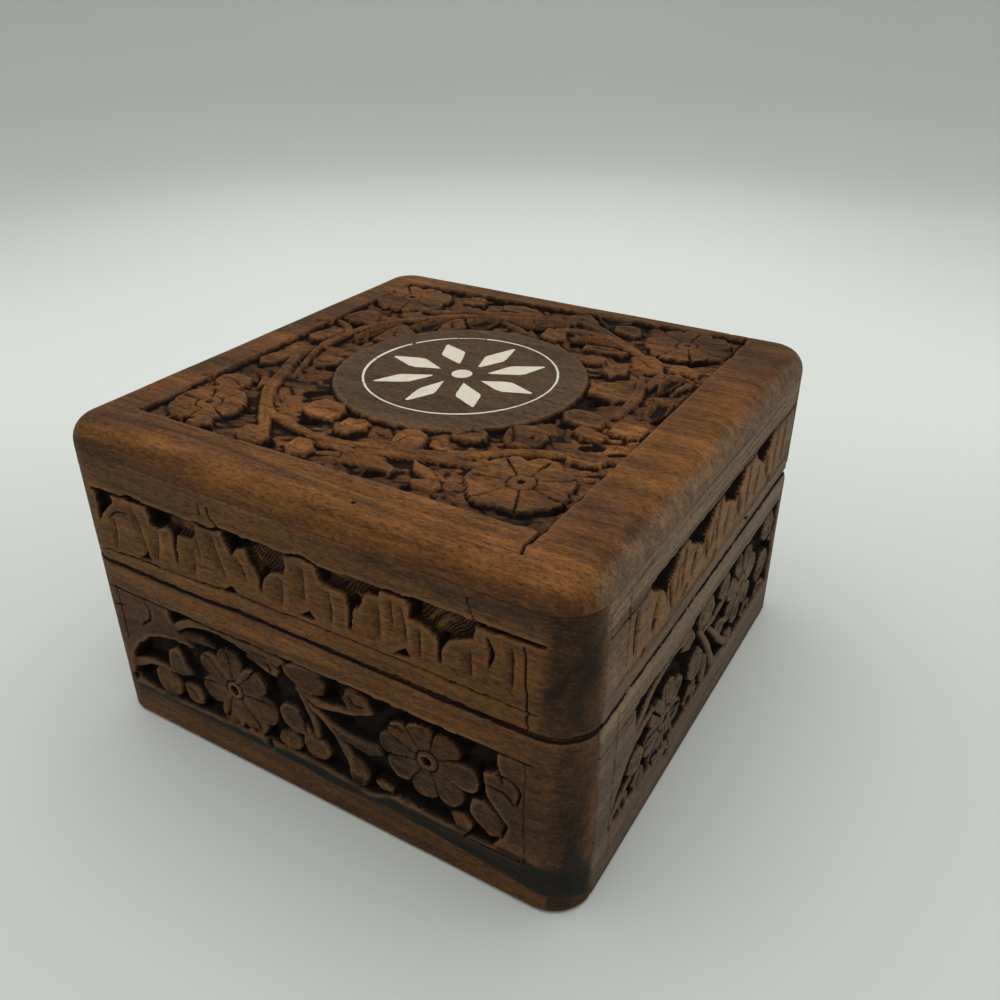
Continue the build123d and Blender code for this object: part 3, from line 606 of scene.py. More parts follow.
def front_lid(relief):
    """The drapery band on the front of the lid."""
    band_grounds(
        relief,
        [
            ([-42.7, 50.3, -38.6, 50.1, -38.5, 48.5, -40.4, 46.8, -42, 45.2, -43, 42.8, -42.9, 46], 2),
            ([-26.4, 50.6, -19, 50.5, -19.2, 48.9, -20, 47.2, -24.2, 46.6, -26.4, 47.8], 1.3),
            ([-30.3, 50.7, -26.2, 50.5, -25.4, 49.2, -26.2, 47.5, -28.5, 46.4, -29.9, 46.7], 2.5),
            ([-9, 51.1, -0.7, 51.2, -0.3, 49, -0.8, 47, -3.5, 46.5, -5, 45, -6.4, 44.4, -7.9, 46.6], 1.4),
            ([-13.4, 51.2, -6, 51.1, -6.6, 49.7, -10.5, 48.4, -11.8, 46.6, -12.6, 48.6], 2.3),
            (
                [
                    7.2, 51.1, 13, 51.3, 17.4, 51.2, 17.2, 49.8, 14.6, 49.2, 14.2, 47.8, 13.2, 46, 11.4, 46,
                    10.9, 47.9, 6.6, 48,
                ],
                1.4,
            ),
            ([5.6, 51.1, 8, 51, 7.7, 49, 6.9, 47.9, 6.2, 48.6], 2.4),
            (
                [
                    23.6, 51.9, 33.6, 51.7, 33.2, 48.6, 30.4, 47.5, 29.2, 46.8, 28.2, 45.4, 26.6, 46.6,
                    25.4, 47.6, 22.8, 47.7,
                ],
                1.4,
            ),
            ([21.8, 51.6, 24, 52, 24.1, 50, 23.6, 48, 22.4, 47.8, 22.6, 50], 2.4),
            ([-35.2, 51.1, -31, 51, -31, 50.2, -35, 50], 1.2),
            ([0.6, 51.4, 3.5, 52, 5.6, 51.3, 3.4, 51.1], 1.2),
            ([33.6, 51.6, 37.4, 51.7, 37.2, 50.9, 34, 50.8], 1.2),
        ],
        [(-24.2, 47.2, 41.7), (-5.7, 46, 42.4), (11.9, 47.2, 42), (27.7, 46.8, 42.7)],
        [(-32.2, 40.6), (-12.8, 40.6), (3.6, 42), (21.4, 42)],
    )
    line = [
        -43, 50.2, -37, 50.4, -30, 50.5, -20, 50.7, -15, 50.8, -13, 51.2, -5, 51.3, 0, 51.2, 3.5, 51.8,
        8, 51, 14, 51.3, 22, 51.6, 33, 51.6, 44.2, 51.8,
    ]
    relief.cut(line, (0.22, 0.34, 0.3, 0.26, 0.3, 0.28), 1.3)
    for points, width in (
        ([-39.6, 39.4, -38.9, 42.6, -38.8, 45.8], 1.6), ([-31.4, 40.4, -32.2, 44, -33.6, 49.6], 1.8),
        ([-29.5, 40, -28.7, 43.4, -28.2, 46.4], 2.6), ([-21, 40, -20.4, 43, -20.2, 45.8], 2.6),
        ([-18.4, 43.2, -18.8, 46, -18.9, 49.8], 1.2), ([-13.2, 41.6, -14.8, 46, -15.6, 50.2], 2.2),
        ([-8.8, 42.6, -9.6, 45, -10.6, 47.4], 2.2), ([-2, 40.4, -1.6, 43.6, -1.4, 46.4], 2.8),
        ([2.9, 43.4, 3, 47, 3, 50.2], 2.6), ([8, 40.8, 8.2, 44, 8, 47.6], 1.6),
        ([16.9, 41.8, 17, 44.6, 16.9, 49], 3), ([19.5, 45, 19.4, 50.2], 1.6),
        ([22, 43, 21.7, 46, 21.2, 49.8], 1.8), ([24.4, 41, 24.2, 44, 24.4, 47.2], 1.4),
        ([32.6, 41.8, 32.6, 44.6, 32.4, 47], 2), ([39.2, 42, 39.4, 46, 39.2, 50.4], 1.6),
    ):
        relief.flute(points, width, 0.5)
    relief.engrave(
        ([33.4, 51.6, 38, 51.8, 44.2, 51.9], (0.42, 0.34, 0.22), 1.4),
        (
            [-44, 38, -34, 38.7, -20, 39.1, -14, 39.4, -5, 39.5, 0, 39.7, 20, 39.8, 43, 39.5],
            (0.14, 0.17, 0.12, 0.17, 0.14), 0.6,
        ),
        ([41.2, 50.6, 41.4, 45, 41.8, 36.6], (0.12, 0.16, 0.14), 0.6),
        ([-15.3, 54.6, -14.9, 53.2, -13.5, 51.4], (0.08, 0.22, 0.3), 0.9),
        ([-17.1, 55, -17, 52.8], (0.08, 0.14, 0.08), 0.5),
        ([32.4, 55.4, 32.8, 53.4, 33.6, 51.8], (0.05, 0.12, 0.1), 0.4),
        ([35.6, 49.9, 36.2, 47.6, 35.8, 45.2], (0.12, 0.5, 0.12), 0.7),
        ([-35.4, 47.2, -37, 47.1, -38.4, 46.6, -40, 45.2], (0.1, 0.2, 0.24, 0.1), 0.5),
        ([-20, 42.6, -17.5, 42.7, -15.4, 42.4], (0.1, 0.2, 0.1), 0.3),
    )
    relief.stains_light_and_shade(
        ("ochre", [-44, 44.5, 0, 45.5, 30, 45.6, 40, 44.5], (7.5, 7.4, 7.2, 5), 0.85, 2.5),
        ("ochre", [-44, 54, -20, 53.6, 8, 54, 26, 53.8], (2.6, 2.8, 2.4, 1.8), 0.8, 1.6),
        ("ochre", [-44, 37.4, 0, 37.6, 42, 37.6], 2, 0.6, 1.2),
        ("light", [-44, 37, -20, 37.2, 4, 37.3], (2.2, 2, 1), 0.75, 0.9),
        ("light", [0, 37.2, 40, 37.4], (2, 1.8), 0.2, 0.9),
        ("shade", [48.6, 35, 48.2, 46, 48, 56], (6, 5.4, 4.6), 0.9, 2.6),
        ("shade", [-44, 58.4, 0, 58.4, 44, 58.4], 2, 0.62, 1.4),
        ("grey", [-46, 53.6, -20, 54.6, 10, 54.4, 44, 54, 54, 54], (1, 1.6, 2.2, 2.6, 3), 0.15, 2),
        ("black", [35.7, 49, 36, 45], (0.8, 0.5), 0.6, 0.7),
        ("black", [15.4, 56.4, 17.4, 56], (0.9, 1.3), 0.5, 1.2),
        ("black", [43.9, 41.6, 44.8, 43.6, 46.4, 45.4, 47.4, 48], (0.5, 1.2, 1.4, 0.6), 0.85, 1),
        ("black", [50, 36.4, 48.2, 41, 50, 47, 49.2, 52], (1.4, 2.4, 2, 1), 0.55, 1.8),
    )


def right_lid(relief):
    """The drapery band on the right of the lid."""
    band_grounds(
        relief,
        [
            (
                [-29.6, 51.2, -17.4, 51.3, -18.4, 48.4, -21.4, 46.8, -22.8, 45, -23.6, 46.8, -28.4, 49.4],
                1.9,
            ),
            ([-14.4, 51.3, -2, 51.3, -3, 48.4, -6.4, 46.8, -7.5, 45.2, -8.4, 46.8, -12.8, 48.8], 1.9),
            ([1.6, 51.3, 13.2, 51.3, 12.4, 48.6, 9.8, 46.6, 8.8, 45.4, 7.4, 46.8, 2.2, 49], 1.9),
            ([18.8, 51.3, 28.8, 51.4, 28, 48.4, 25.6, 46.8, 24.8, 45.6, 23.6, 46.8, 19.6, 49.4], 1.9),
        ],
        [], [(-30, 40.4), (-13.4, 41.9), (0, 41), (29.8, 41.2)],
    )
    for x in (-22.8, -7.5, 9, 24.8):
        relief.cut([x + 0.3, 46.8, x, 45.4, x - 0.1, 44.2], (0.7, 0.4, 0.2), 1.2)
    for x, low, high, lean, width in (
        (-26.4, 40.6, 47.6, 0.8, 1.7), (-20.2, 41, 47.2, -0.7, 1.7), (-15.6, 41.4, 50.6, 0.2, 1.2),
        (-17.8, 42, 48, 0.6, 1.2), (-10.8, 41.6, 47.4, 0.8, 1.6), (-4.8, 41, 47, -0.6, 1.6),
        (-0.4, 41.6, 50.8, 0.2, 1.2), (-2.6, 42, 48, 0.6, 1.2), (4.4, 40.8, 47.4, 0.8, 1.6),
        (11.4, 41, 47, -0.6, 1.7), (15.4, 41, 50.8, 0.3, 1.3), (20.8, 41, 47.6, 0.8, 1.6),
        (27.2, 41, 47.2, -0.6, 1.6), (31.6, 41, 50.8, 0.3, 1.4), (-33.4, 41, 50, 0.2, 1.8),
        (36.6, 41, 50.4, 0.2, 1.6),
    ):
        relief.flute([x - lean, low, x, (low + high) / 2, x + lean, high], width, 0.6)
    for x, y in ((-27, 42.4), (9, 42.4), (-11, 45.3)):
        relief.cut([x - 0.5, y - 0.4, x + 0.4, y + 0.5], 0.5, 0.8)
    for y in (52.6, 54.2, 55.6):
        relief.cut([-45, y - 0.3, -16, y + 0.2, 14, y - 0.1, 46, y + 0.3], 0.19, 0.25)
    relief.engrave(
        (
            [-43, 50.9, -33, 50.6, -29, 51.2, -15, 51.4, 0, 51.4, 14, 51.4, 28, 51.5, 43, 51.8],
            (0.14, 0.2, 0.26, 0.26, 0.24, 0.2), 1,
        ),
        ([-24, 39.4, -8, 39.5, 10, 39.4, 30, 39.7, 40, 39.9], (0.12, 0.2, 0.16, 0.2, 0.12), 0.6),
        ([-37.2, 55.2, -37, 48, -37.2, 42], (0.12, 0.24, 0.12), 0.5),
        ([-43.4, 55, -43.2, 51], (0.12, 0.16, 0.1), 0.35),
        ([14.6, 38.8, 16, 38.4, 17.6, 37.4], (0.2, 0.5, 0.3), 0.6),
    )
    relief.stains_light_and_shade(
        ("ochre", [-34, 44, -12, 45, 12, 45, 36, 45], (4, 6, 6, 5), 0.6, 2.5),
        ("grey", [-38, 45, 0, 45, 40, 45], 6, 0.5, 2),
        ("grey", [-46, 54, 0, 54.2, 44, 54], (3.6, 3.2, 3.6), 0.85, 1.8),
        ("light", [-44, 54.4, 0, 54.4, 48, 54.4], 3.4, 1.15, 1.5),
        ("light", [-38, 45, 0, 45, 40, 45], 6, 0.75, 1.5),
        ("light", [-38, 38, 0, 38, 44, 38.4], 1.6, 0.35, 0.8),
        ("grey", [-46, 37, 0, 37, 44, 37.6], 2.6, 0.7, 1.2),
        ("grey", [-43, 58, -41.5, 44, -42, 36], 3.5, 0.8, 2.5),
    )


TOP_FLOWERS = [
    (28.3, -28.7, [(85, 8.6), (33, 8.2), (-20, 8.4), (-68, 8.2), (240, 8.6), (190, 8.8), (140, 8.4)], 2.3),
    (28.8, 35.9, [(92, 8.8), (42, 8.8), (-10, 8.6), (-62, 8), (244, 8.2), (192, 8.4), (140, 8.4)], 2.1),
    (-34.7, 32.4, [(80, 8), (28, 9), (-22, 9), (-74, 7.8), (232, 8), (182, 7.6), (132, 8.2)], 2),
    (-31.9, -31.6, [(75, 6.6), (24, 6.4), (-28, 6.6), (-80, 6), (228, 7), (178, 6.8), (128, 7.6)], 2.3),
]

TOP_LEAVES = [
    [10.3, -18.5, 11.5, -17, 14, -16.3, 15.6, -17.3, 16.3, -19.3, 15.3, -20.9, 12, -21.3, 10.4, -20.5],
    [
        17.5, -14.5, 18.2, -12.4, 21, -11.5, 23.6, -12.2, 24.9, -14, 24.6, -16.6, 22.8, -18, 20, -18.6,
        18, -17,
    ],
    [22.3, -4, 23, -2, 25, -0.8, 28, -1.2, 29.8, -3, 29.8, -6.4, 26, -6.7, 23.5, -6.1],
    [31.3, -2, 35, -2.2, 37.6, -3, 37.6, -6, 35.5, -6.8, 31.5, -6.6],
    [27.4, -7.4, 30, -7.6, 32.6, -8, 32.2, -10, 28.8, -10.6, 26.8, -9.4],
    [29.5, -17, 30, -15.6, 34, -14.8, 36.2, -15.7, 36, -18, 33.5, -19, 30.5, -18.5],
    [2.8, -25, 3.2, -22.9, 5.5, -22, 7.8, -23, 8.6, -25.8, 7.9, -27.9, 6, -29.2, 3.6, -28],
    [10.6, -31, 15, -32, 18.2, -34.8, 18.6, -37.4, 15, -37.5, 13.6, -36.2, 15.4, -34.8, 12.4, -33.4],
    [-1, -33.2, 6, -33, 10, -35, 10, -36.3, 5, -35.9, 0, -36.8],
    [-38.8, -21.5, -36.5, -19.8, -33, -20, -32.1, -22, -32.5, -24.4, -35.5, -25.2, -38.5, -24],
    [-36, -3.5, -34.7, -7, -35, -12, -37, -13.8, -38.8, -12, -38.5, -8, -37, -5],
    [-29.8, -4.5, -28, -4, -24.6, -4.2, -24.1, -6.5, -26, -8.7, -28.5, -8.5, -29.8, -7],
    [-15.4, -20.3, -11.5, -20.1, -9.9, -22, -10.1, -25.4, -13.5, -26.4, -16.4, -25.4, -17, -22.5],
    [-8, -23.6, -5, -22.9, -3, -24, -2.6, -27, -4.5, -29.1, -7.4, -28.4],
    [-10, -34, -7, -33.8, -5.3, -35.5, -5.4, -37.8, -8, -38.8, -9.9, -37.5],
    [-20, -34.5, -17, -33.6, -14.2, -37, -14.6, -38.8, -18, -39.2, -20, -37.5],
    [-29.6, -36.6, -27, -36, -25.4, -37.4, -27.4, -38.9, -30.6, -38.6],
    [-40, 16, -38.5, 19.4, -35.5, 20, -32.8, 18, -33, 15, -37, 13.9, -39.8, 14.6],
    [-39, 2.4, -38.6, 7.4, -35.6, 9.8, -34.4, 6.6, -35.2, 2.4, -37.4, 1],
    [-26.5, 17.4, -27.4, 12, -27.6, 8.6, -24.4, 8.4, -22.4, 10.6, -21.4, 13.4, -24, 15.6],
    [-19.2, 24.5, -17.6, 26.8, -14.6, 23.2, -15.4, 21.4, -17.9, 17.4, -19, 20.5],
    [-24, 40.5, -21, 41, -19, 39, -18.6, 36.5, -21, 35.5, -24, 36.5],
    [-14.5, 38.4, -10, 40, -5.4, 38.8, -3.6, 37.2, -9, 36.4, -13.6, 36.8],
    [12, 38.5, 14.5, 41, 17, 40.5, 18.5, 37.6, 17.5, 35.6, 13, 36.5],
    [1.4, 41.6, 4.8, 42.4, 8.4, 38.4, 6, 36.8, 1.6, 37.2, -0.6, 39.4],
    [0.8, 30.6, 4.6, 31, 6.4, 27.6, 4.6, 25.6, 1.2, 26.2],
    [11, 27.2, 14.8, 27.4, 20.4, 26.6, 20, 25.4, 15.6, 24.6, 11.4, 24.6],
    [22, 24.6, 25.6, 26.8, 28.4, 24.8, 29.8, 21, 27.4, 19.4, 24, 20.6],
    [22, 5.6, 22.4, 10.4, 25, 12.6, 28.6, 11.4, 29.6, 7.2, 27.8, 4.8],
    [19.4, 16.6, 20.4, 20.6, 23.6, 20, 24.4, 16.8, 22.2, 15],
    [30.2, 24.6, 32.6, 25.8, 36, 24.2, 36.2, 21.8, 33, 22.8, 30.4, 22.2],
    [13.6, 18.6, 14.6, 22.4, 18, 22.6, 18.6, 19.4, 16.2, 17.8],
    [-26.2, 1.2, -26.6, 5.4, -25.2, 6, -24.9, 1.6], [-31.6, -38.4, -35.4, -36.8, -37.4, -33.8, -34, -34.4],
    [-23.6, 33.6, -20.4, 34.4, -17.6, 31.6, -19.6, 29.6, -23, 30],
    [-31, 22.8, -28.6, 21.8, -26.2, 24.2, -27.6, 25.4], [34.9, 12.4, 36.8, 17.8, 36.6, 20.6, 35.4, 18.2],
    [29.4, 13.6, 31, 12.4, 31.4, 17.4, 30.4, 20.4, 29.2, 18.4],
]

TOP_STEMS = [
    (
        [-34.4, -4, -33.4, -8.6, -30.8, -14.2, -28.4, -20, -24.2, -26, -20, -30.8, -15, -36.4],
        (0.7, 1.1, 1.2, 1.3, 1.2, 1.1, 0.8),
    ),
    ([-33.6, 0, -32.4, -4, -29.8, -9.8, -27.6, -15.4], (0.4, 0.5, 0.6, 0.4)),
    (
        [
            -33.4, 0.4, -33.6, 5, -32.8, 10.6, -31, 16.4, -27, 21.4, -22, 26.4, -17, 29.8, -10, 32.8,
            -2, 36, 3.4, 36.9,
        ],
        (1, 1, 0.8, 0.9, 0.9, 1, 0.9, 0.9, 1.1, 0.6),
    ),
    ([-26.6, 27.6, -23, 29.2, -18, 31.8, -11.6, 34.4, -4, 37], (0.5, 0.8, 0.8, 0.8, 0.5)),
    (
        [
            -27.4, -22.4, -24, -25.6, -20, -28.9, -15, -30.4, -8, -31.7, -2, -31.4, 4, -29.4, 10, -27.8,
            14, -26.4,
        ],
        (0.6, 0.7, 0.8, 0.7, 0.7, 0.9, 0.8, 0.9, 0.6),
    ),
    ([1, -32.4, 7, -30.2, 13, -28.4, 20.2, -27], (0.6, 0.9, 1, 0.8)),
    (
        [10, -28.9, 14, -26.9, 17.4, -24.6, 20.4, -21.6, 24.6, -19.2, 28.2, -17.6, 30.4, -16.9],
        (0.4, 0.8, 0.8, 0.8, 1, 0.8, 0.6),
    ),
    ([-6, -33.4, 0, -32.9, 6.4, -32.6], (0.4, 0.7, 0.4)),
    ([2.4, 31.4, 6, 33, 10.6, 33.2, 15.4, 31.8, 20.2, 29.4, 24, 26.4], (0.6, 1, 1, 1, 0.9, 0.5)),
    ([5, 38.4, 9.4, 36.4, 13, 33.8, 18.2, 30.2, 20.8, 28], (1.2, 1.2, 1.3, 1.1, 0.5)),
    ([27.6, 16.8, 29.6, 10.6, 30.4, 4.6, 30.2, -0.4], (0.6, 1.1, 1.1, 0.7)),
    ([-33.2, 8, -36, 11.2, -39.4, 12.6], (0.8, 0.8, 0.5)), ([-9.8, 30, -5, 28, -1, 25.8], (0.4, 0.7, 0.4)),
    ([-30.4, -20.6, -31.4, -18.4, -33.4, -16.8, -36.4, -16], (0.7, 0.8, 0.8, 0.5)),
]

TOP_HOLLOWS = [
    [-31, 6.5, -31.2, 12, -29.5, 16.6, -27.5, 19, -26.9, 17.5, -27.8, 12, -28.3, 8, -26.2, 5.8, -29, 4.6],
    [-24.5, 19.8, -23, 23.8, -20.2, 26, -19.5, 22, -19.2, 18.5, -18.2, 16.5, -20.5, 15.2, -24, 17.5],
    [-17, 26.5, -14.5, 30.2, -11.5, 31.4, -10.2, 30, -10.2, 25, -12.5, 22.5, -14.8, 24.2],
    [-9.3, 31, -4, 33.4, 1, 35.4, 2, 34.6, 0, 30.4, -3.8, 28.9, -8, 30.4],
    [31.2, 20, 33, 21.6, 34.5, 20.5, 34.8, 17, 33.8, 12.8, 32.5, 11.2, 31.3, 15],
    [4.6, 32.4, 3.6, 35.4, 0.6, 35.6, -1.6, 34.4, 1.6, 32.8],
    [7, 30.2, 10.4, 31.6, 14.6, 30.6, 18, 28.4, 12, 28.2, 8, 26.2],
    [5.4, 43.8, 8, 40.2, 11, 37.4, 12.6, 40.6, 14.6, 43.6, 10, 44.2],
    [33.2, 9.6, 36.8, 10.2, 38, 4.6, 36.4, 0.8, 34, 1.2, 33.4, 5],
]


# The plain disc: a stroke hardly longer than a point, and its half width
DISC = [-1.67, 1.2, -1.66, 1.2]
DISC_RADIUS = 23.5
# Its middle, its flat part and how deep that lies, in millimetres
DISC_PLACE = (-1.7, 1.2)
DISC_FLAT = 22.6
DISC_DEPTH = 0.03

# The part of the lid round the carved square that is finely meshed, in millimetres across and along
FINE_ACROSS = (-43.0, 39.4)
FINE_ALONG = (-46.39, 46.39)


def top_carving(relief):
    """The square of flowers, scrolls and leaves round the plain disc."""
    relief.sink([-40, -39.9, 37.8, -39.4, 38.2, 45.6, -41.8, 41.2], 1.4, hatch=24, rough=0.35)
    win, inside, _, _ = relief.stroke(DISC, DISC_RADIUS - 0.2, 1)
    relief.standing[win] = np.where(
        inside > 0, 0.04 + 0.1 * (1 - np.clip(inside / 0.5, 0, 1)) ** 2, 0.14 - inside * 5,
    )
    for x, y, petals, eye in TOP_FLOWERS:
        relief.flower(x, y, petals, eye=eye, hole=0.62, top=0.3, girth=3.15, scoop=0.12, slit=0.6)
    for k, points in enumerate(TOP_LEAVES):
        relief.plate(
            points, 0.26 + 0.12 * math.sin(k * 1.9), scoop=0.14 + 0.14 * (k % 3), tilt=0.09, edge=0.35,
            drop=0.2,
        )
    for points, widths in TOP_STEMS:
        relief.lift(points, widths, 0.3, crown=0.3)
        relief.cut(points, (0.1, 0.16, 0.1), 0.25)
    for points in TOP_HOLLOWS:
        relief.hollow(points, 1.5, 1.6)
    for x, y, width in (
        (34.6, 20.2, 0.9), (18.6, 35.6, 1.2), (15.4, -38.2, 1.2), (-18.4, -19, 2), (-17, -21.8, 1.4),
        (16.2, -13.8, 1.3), (20.6, -8.6, 1.6), (0, -22.9, 1.2), (8.4, -21.2, 0.9), (9.2, -27, 1.2),
        (25.4, -7.8, 1.2), (32.2, -13.2, 1.4), (-29.4, 22.2, 1), (-31.2, -21.6, 1), (35.6, -34, 1),
        (36.6, -13.4, 0.8), (8.4, -37.6, 1.4), (-13.4, -38.6, 1.2), (-38.6, -24.4, 1), (-40, 8.8, 1.2),
        (-23.4, -8.8, 1.2), (-26.6, 37.6, 1), (-16.6, 38.4, 1), (24.4, 14.4, 1), (20.4, 13, 0.9),
        (-22.6, -30.4, 0.9), (-12.4, -28, 1.4), (35.6, 45.2, 0.8), (-8.8, -24.6, 0.9), (26, 2.8, 1.5),
        (33.6, 27.2, 1), (-34.4, 12, 1),
    ):
        relief.deepen([x - 0.8, y - 0.5, x + 0.8, y + 0.5], width, 1)
    for path in (
        [18, -13.4, 19.6, -16, 19.8, -18.2], [11.2, -20.4, 13, -18, 15, -17.6],
        [24.4, -5.2, 26.2, -3.2, 28.8, -2.8], [23.2, 7, 25.6, 8.2, 28.2, 10.4],
        [4.2, -27.6, 5, -25, 7.2, -23.6], [-37.8, -22.6, -35.2, -22.2, -33, -23.4],
        [-15.8, -24.6, -13.2, -23, -10.8, -22.8], [-7.4, -27.2, -5.4, -25.4, -4.2, -23.8],
        [-38.4, 17, -36, 16.6, -33.8, 17.2], [-23.4, 37.4, -21.4, 38.8, -19.6, 38.4],
        [32, -4.4, 34.8, -4.2, 37, -5], [30.6, -17.4, 33.2, -16.8, 35.8, -16.8],
        [-29.2, -6.6, -27.2, -6, -25, -6.6], [14.4, 38.2, 16, 38, 17.4, 36.8],
        [12.4, 26.2, 16, 26.2, 19.4, 26], [-18.6, 24.4, -17.2, 21.8, -17, 19],
        [-25.6, 14.4, -24.6, 11.8, -22.8, 10.8], [24.6, 24.4, 26.4, 22.6, 28.4, 22],
        [1.8, 39.6, 4.4, 39.4, 6.6, 38.2],
    ):
        relief.cut(path, (0.1, 0.3, 0.1), 0.45)
    for x, y in (
        (21.4, -43.4), (32.9, -45.8), (-14, -43.6), (41.6, -30), (41, -20.6), (11, -46.2), (43.4, 6),
    ):
        relief.cut([x - 0.25, y, x + 0.25, y + 0.2], (0.28, 0.24), 0.5)
    relief.engrave(
        ([22, -14.4, 22.1, -14.5], 0.4, 0.9),
        ([37.4, -38.4, 37.6, -41.6, 37.5, -43.8, 38, -45.6], (0.3, 0.28, 0.2, 0.08), 1.2),
        (
            [37.4, -39.6, 37.7, -8, 37.5, 12, 37.8, 30, 37.4, 45, 38.6, 46, 41.6, 45.6],
            (0.3, 0.18, 0.26, 0.18, 0.26, 0.2, 0.1), 0.8,
        ),
        ([-40.4, -39.8, -20, -40, 0, -39.4, 37, -39], (0.14, 0.2, 0.14, 0.2), 0.7),
        ([40.4, 26.4, 43.2, 25.4, 45.6, 24.8], (0.08, 0.16, 0.08), 0.4),
    )
    relief.stains_light_and_shade(
        ("grey", DISC, DISC_RADIUS, 1, 0.5), ("ochre", DISC, DISC_RADIUS, 0.5, 0.5),
        ("shade", DISC, DISC_RADIUS, 0.68, 0.5),
        # Painted light and shade: the top lighter towards the front and right, darker towards the back and
        # on the front rounded edge
        ("light", [-36, -46, 0, -44, 36, -38, 48, -20, 48, 10], (8, 14, 22, 16, 8), 0.5, 16),
        ("light", [-30, -30, 0, -29, 30, -26, 32, -6], (9, 10, 11, 9), 1.05, 6),
        ("shade", [-30, 46, 10, 40, 44, 46], (10, 14, 8), 0.45, 12),
        ("shade", [-52, -51, 0, -51.2, 52, -51], 2.4, 1, 1.8),
        ("black", [-46, -43.9, -20, -42.7, 4, -44.7, 28, -43.1], (0.6, 1.5, 1.2, 0.3), 0.6, 1.4),
        ("black", [4, -45.9, 14, -45.4, 26, -46.8], (0.5, 1, 0.4), 0.6, 1),
        ("ochre", [-46, -49.4, 0, -49.8, 50, -49.4], (2.2, 2.2, 2), 0.4, 1.6),
        ("grey", [49.8, -45, 49.8, 0, 49.8, 45], (2.2, 2.6, 2.2), 0.6, 1.6),
    )


class Wire:
    """A shader socket that takes Python's arithmetic."""

    def __init__(self, tree, socket):
        self.tree = tree
        self.socket = socket

    def math(self, operation, *others):
        """A maths node with this value first."""
        return self.tree.make("ShaderNodeMath", {"operation": operation}, [self, *others])

    def __add__(self, other):
        return self.math("ADD", other)

    def __sub__(self, other):
        return self.math("SUBTRACT", other)

    def __rsub__(self, other):
        return self.tree.make("ShaderNodeMath", {"operation": "SUBTRACT"}, [other, self])

    def __mul__(self, other):
        return self.math("MULTIPLY", other)

    __radd__ = __add__
    __rmul__ = __mul__

    def between(self, low, high):
        """Zero below low, one above high, and a soft step between."""
        values = {"Value": self, "From Min": low, "From Max": high}
        return self.tree.make("ShaderNodeMapRange", {"interpolation_type": "SMOOTHSTEP"}, values)


class Tree:
    """The nodes of one material."""

    def __init__(self, name):
        self.material = bpy.data.materials.new(name)
        self.material.use_nodes = True
        self.nodes = self.material.node_tree.nodes
        self.links = self.material.node_tree.links
        self.nodes.clear()

    def make(self, kind, settings=None, values=(), output=0):
        """Adds one node: its settings first, then its sockets' values or links."""
        node = self.nodes.new(kind)
        for name, value in (settings or {}).items():
            setattr(node, name, value)
        for key, value in values.items() if isinstance(values, dict) else enumerate(values):
            if isinstance(value, Wire):
                self.links.new(value.socket, node.inputs[key])
            else:
                node.inputs[key].default_value = value
        return Wire(self, node.outputs[output])

    def ramp(self, share, stops):
        """A colour that runs through the stops, each a position and a colour."""
        wire = self.make("ShaderNodeValToRGB", None, {"Fac": share})
        elements = wire.socket.node.color_ramp.elements
        while len(elements) < len(stops):
            elements.new(0.5)
        for element, (position, colour) in zip(elements, stops):
            element.position = position
            element.color = colour
        return wire

    def attribute(self, name):
        """A number stored on the mesh."""
        return self.make("ShaderNodeAttribute", {"attribute_name": name}, output="Fac")

    def blend(self, first, second, share):
        """Two colours mixed."""
        return self.make("ShaderNodeMix", {"data_type": "RGBA"}, {0: share, 6: first, 7: second}, output=2)

    def vector(self, operation, values, output=0):
        """A vector maths node."""
        return self.make("ShaderNodeVectorMath", {"operation": operation}, values, output)

    def shade(self, colour, value):
        """A colour made lighter or darker by a number."""
        colour = colour if isinstance(colour, Wire) else colour[:3]
        return self.vector("SCALE", {0: colour, "Scale": value})

    def place(self, stretch=(1, 1, 1), offset=(0, 0, 0)):
        """The place on the box in millimetres, stretched along the grain."""
        where = self.make("ShaderNodeTexCoord", output="Object")
        scaled = self.vector("MULTIPLY", [where, tuple(s / METRE for s in stretch)])
        return self.vector("ADD", [scaled, offset])

    def noise(self, place, scale, detail=3.0, roughness=0.5, distortion=0.0):
        """Fractal noise from 0 to 1."""
        values = {
            "Vector": place, "Scale": scale, "Detail": detail,
            "Roughness": roughness, "Distortion": distortion,
        }
        return self.make("ShaderNodeTexNoise", {"normalize": True}, values)

    def finish(self, colour, roughness, height=None, distance=0.0002, strength=0.5, **fixed):
        """The surface shader and its output; gives the material."""
        values = {"Base Color": colour, "Roughness": roughness}
        values.update({name.replace("_", " "): value for name, value in fixed.items()})
        if height is not None:
            bump = {"Height": height, "Strength": strength, "Distance": distance}
            values["Normal"] = self.make("ShaderNodeBump", None, bump)
        shader = self.make("ShaderNodeBsdfPrincipled", None, values)
        output = self.nodes.new("ShaderNodeOutputMaterial")
        self.links.new(shader.socket, output.inputs["Surface"])
        return self.material


# How strongly wood's grain stands out, and its dull polish
WOOD_SURFACE = {"strength": 0.55, "Specular_IOR_Level": 0.14}


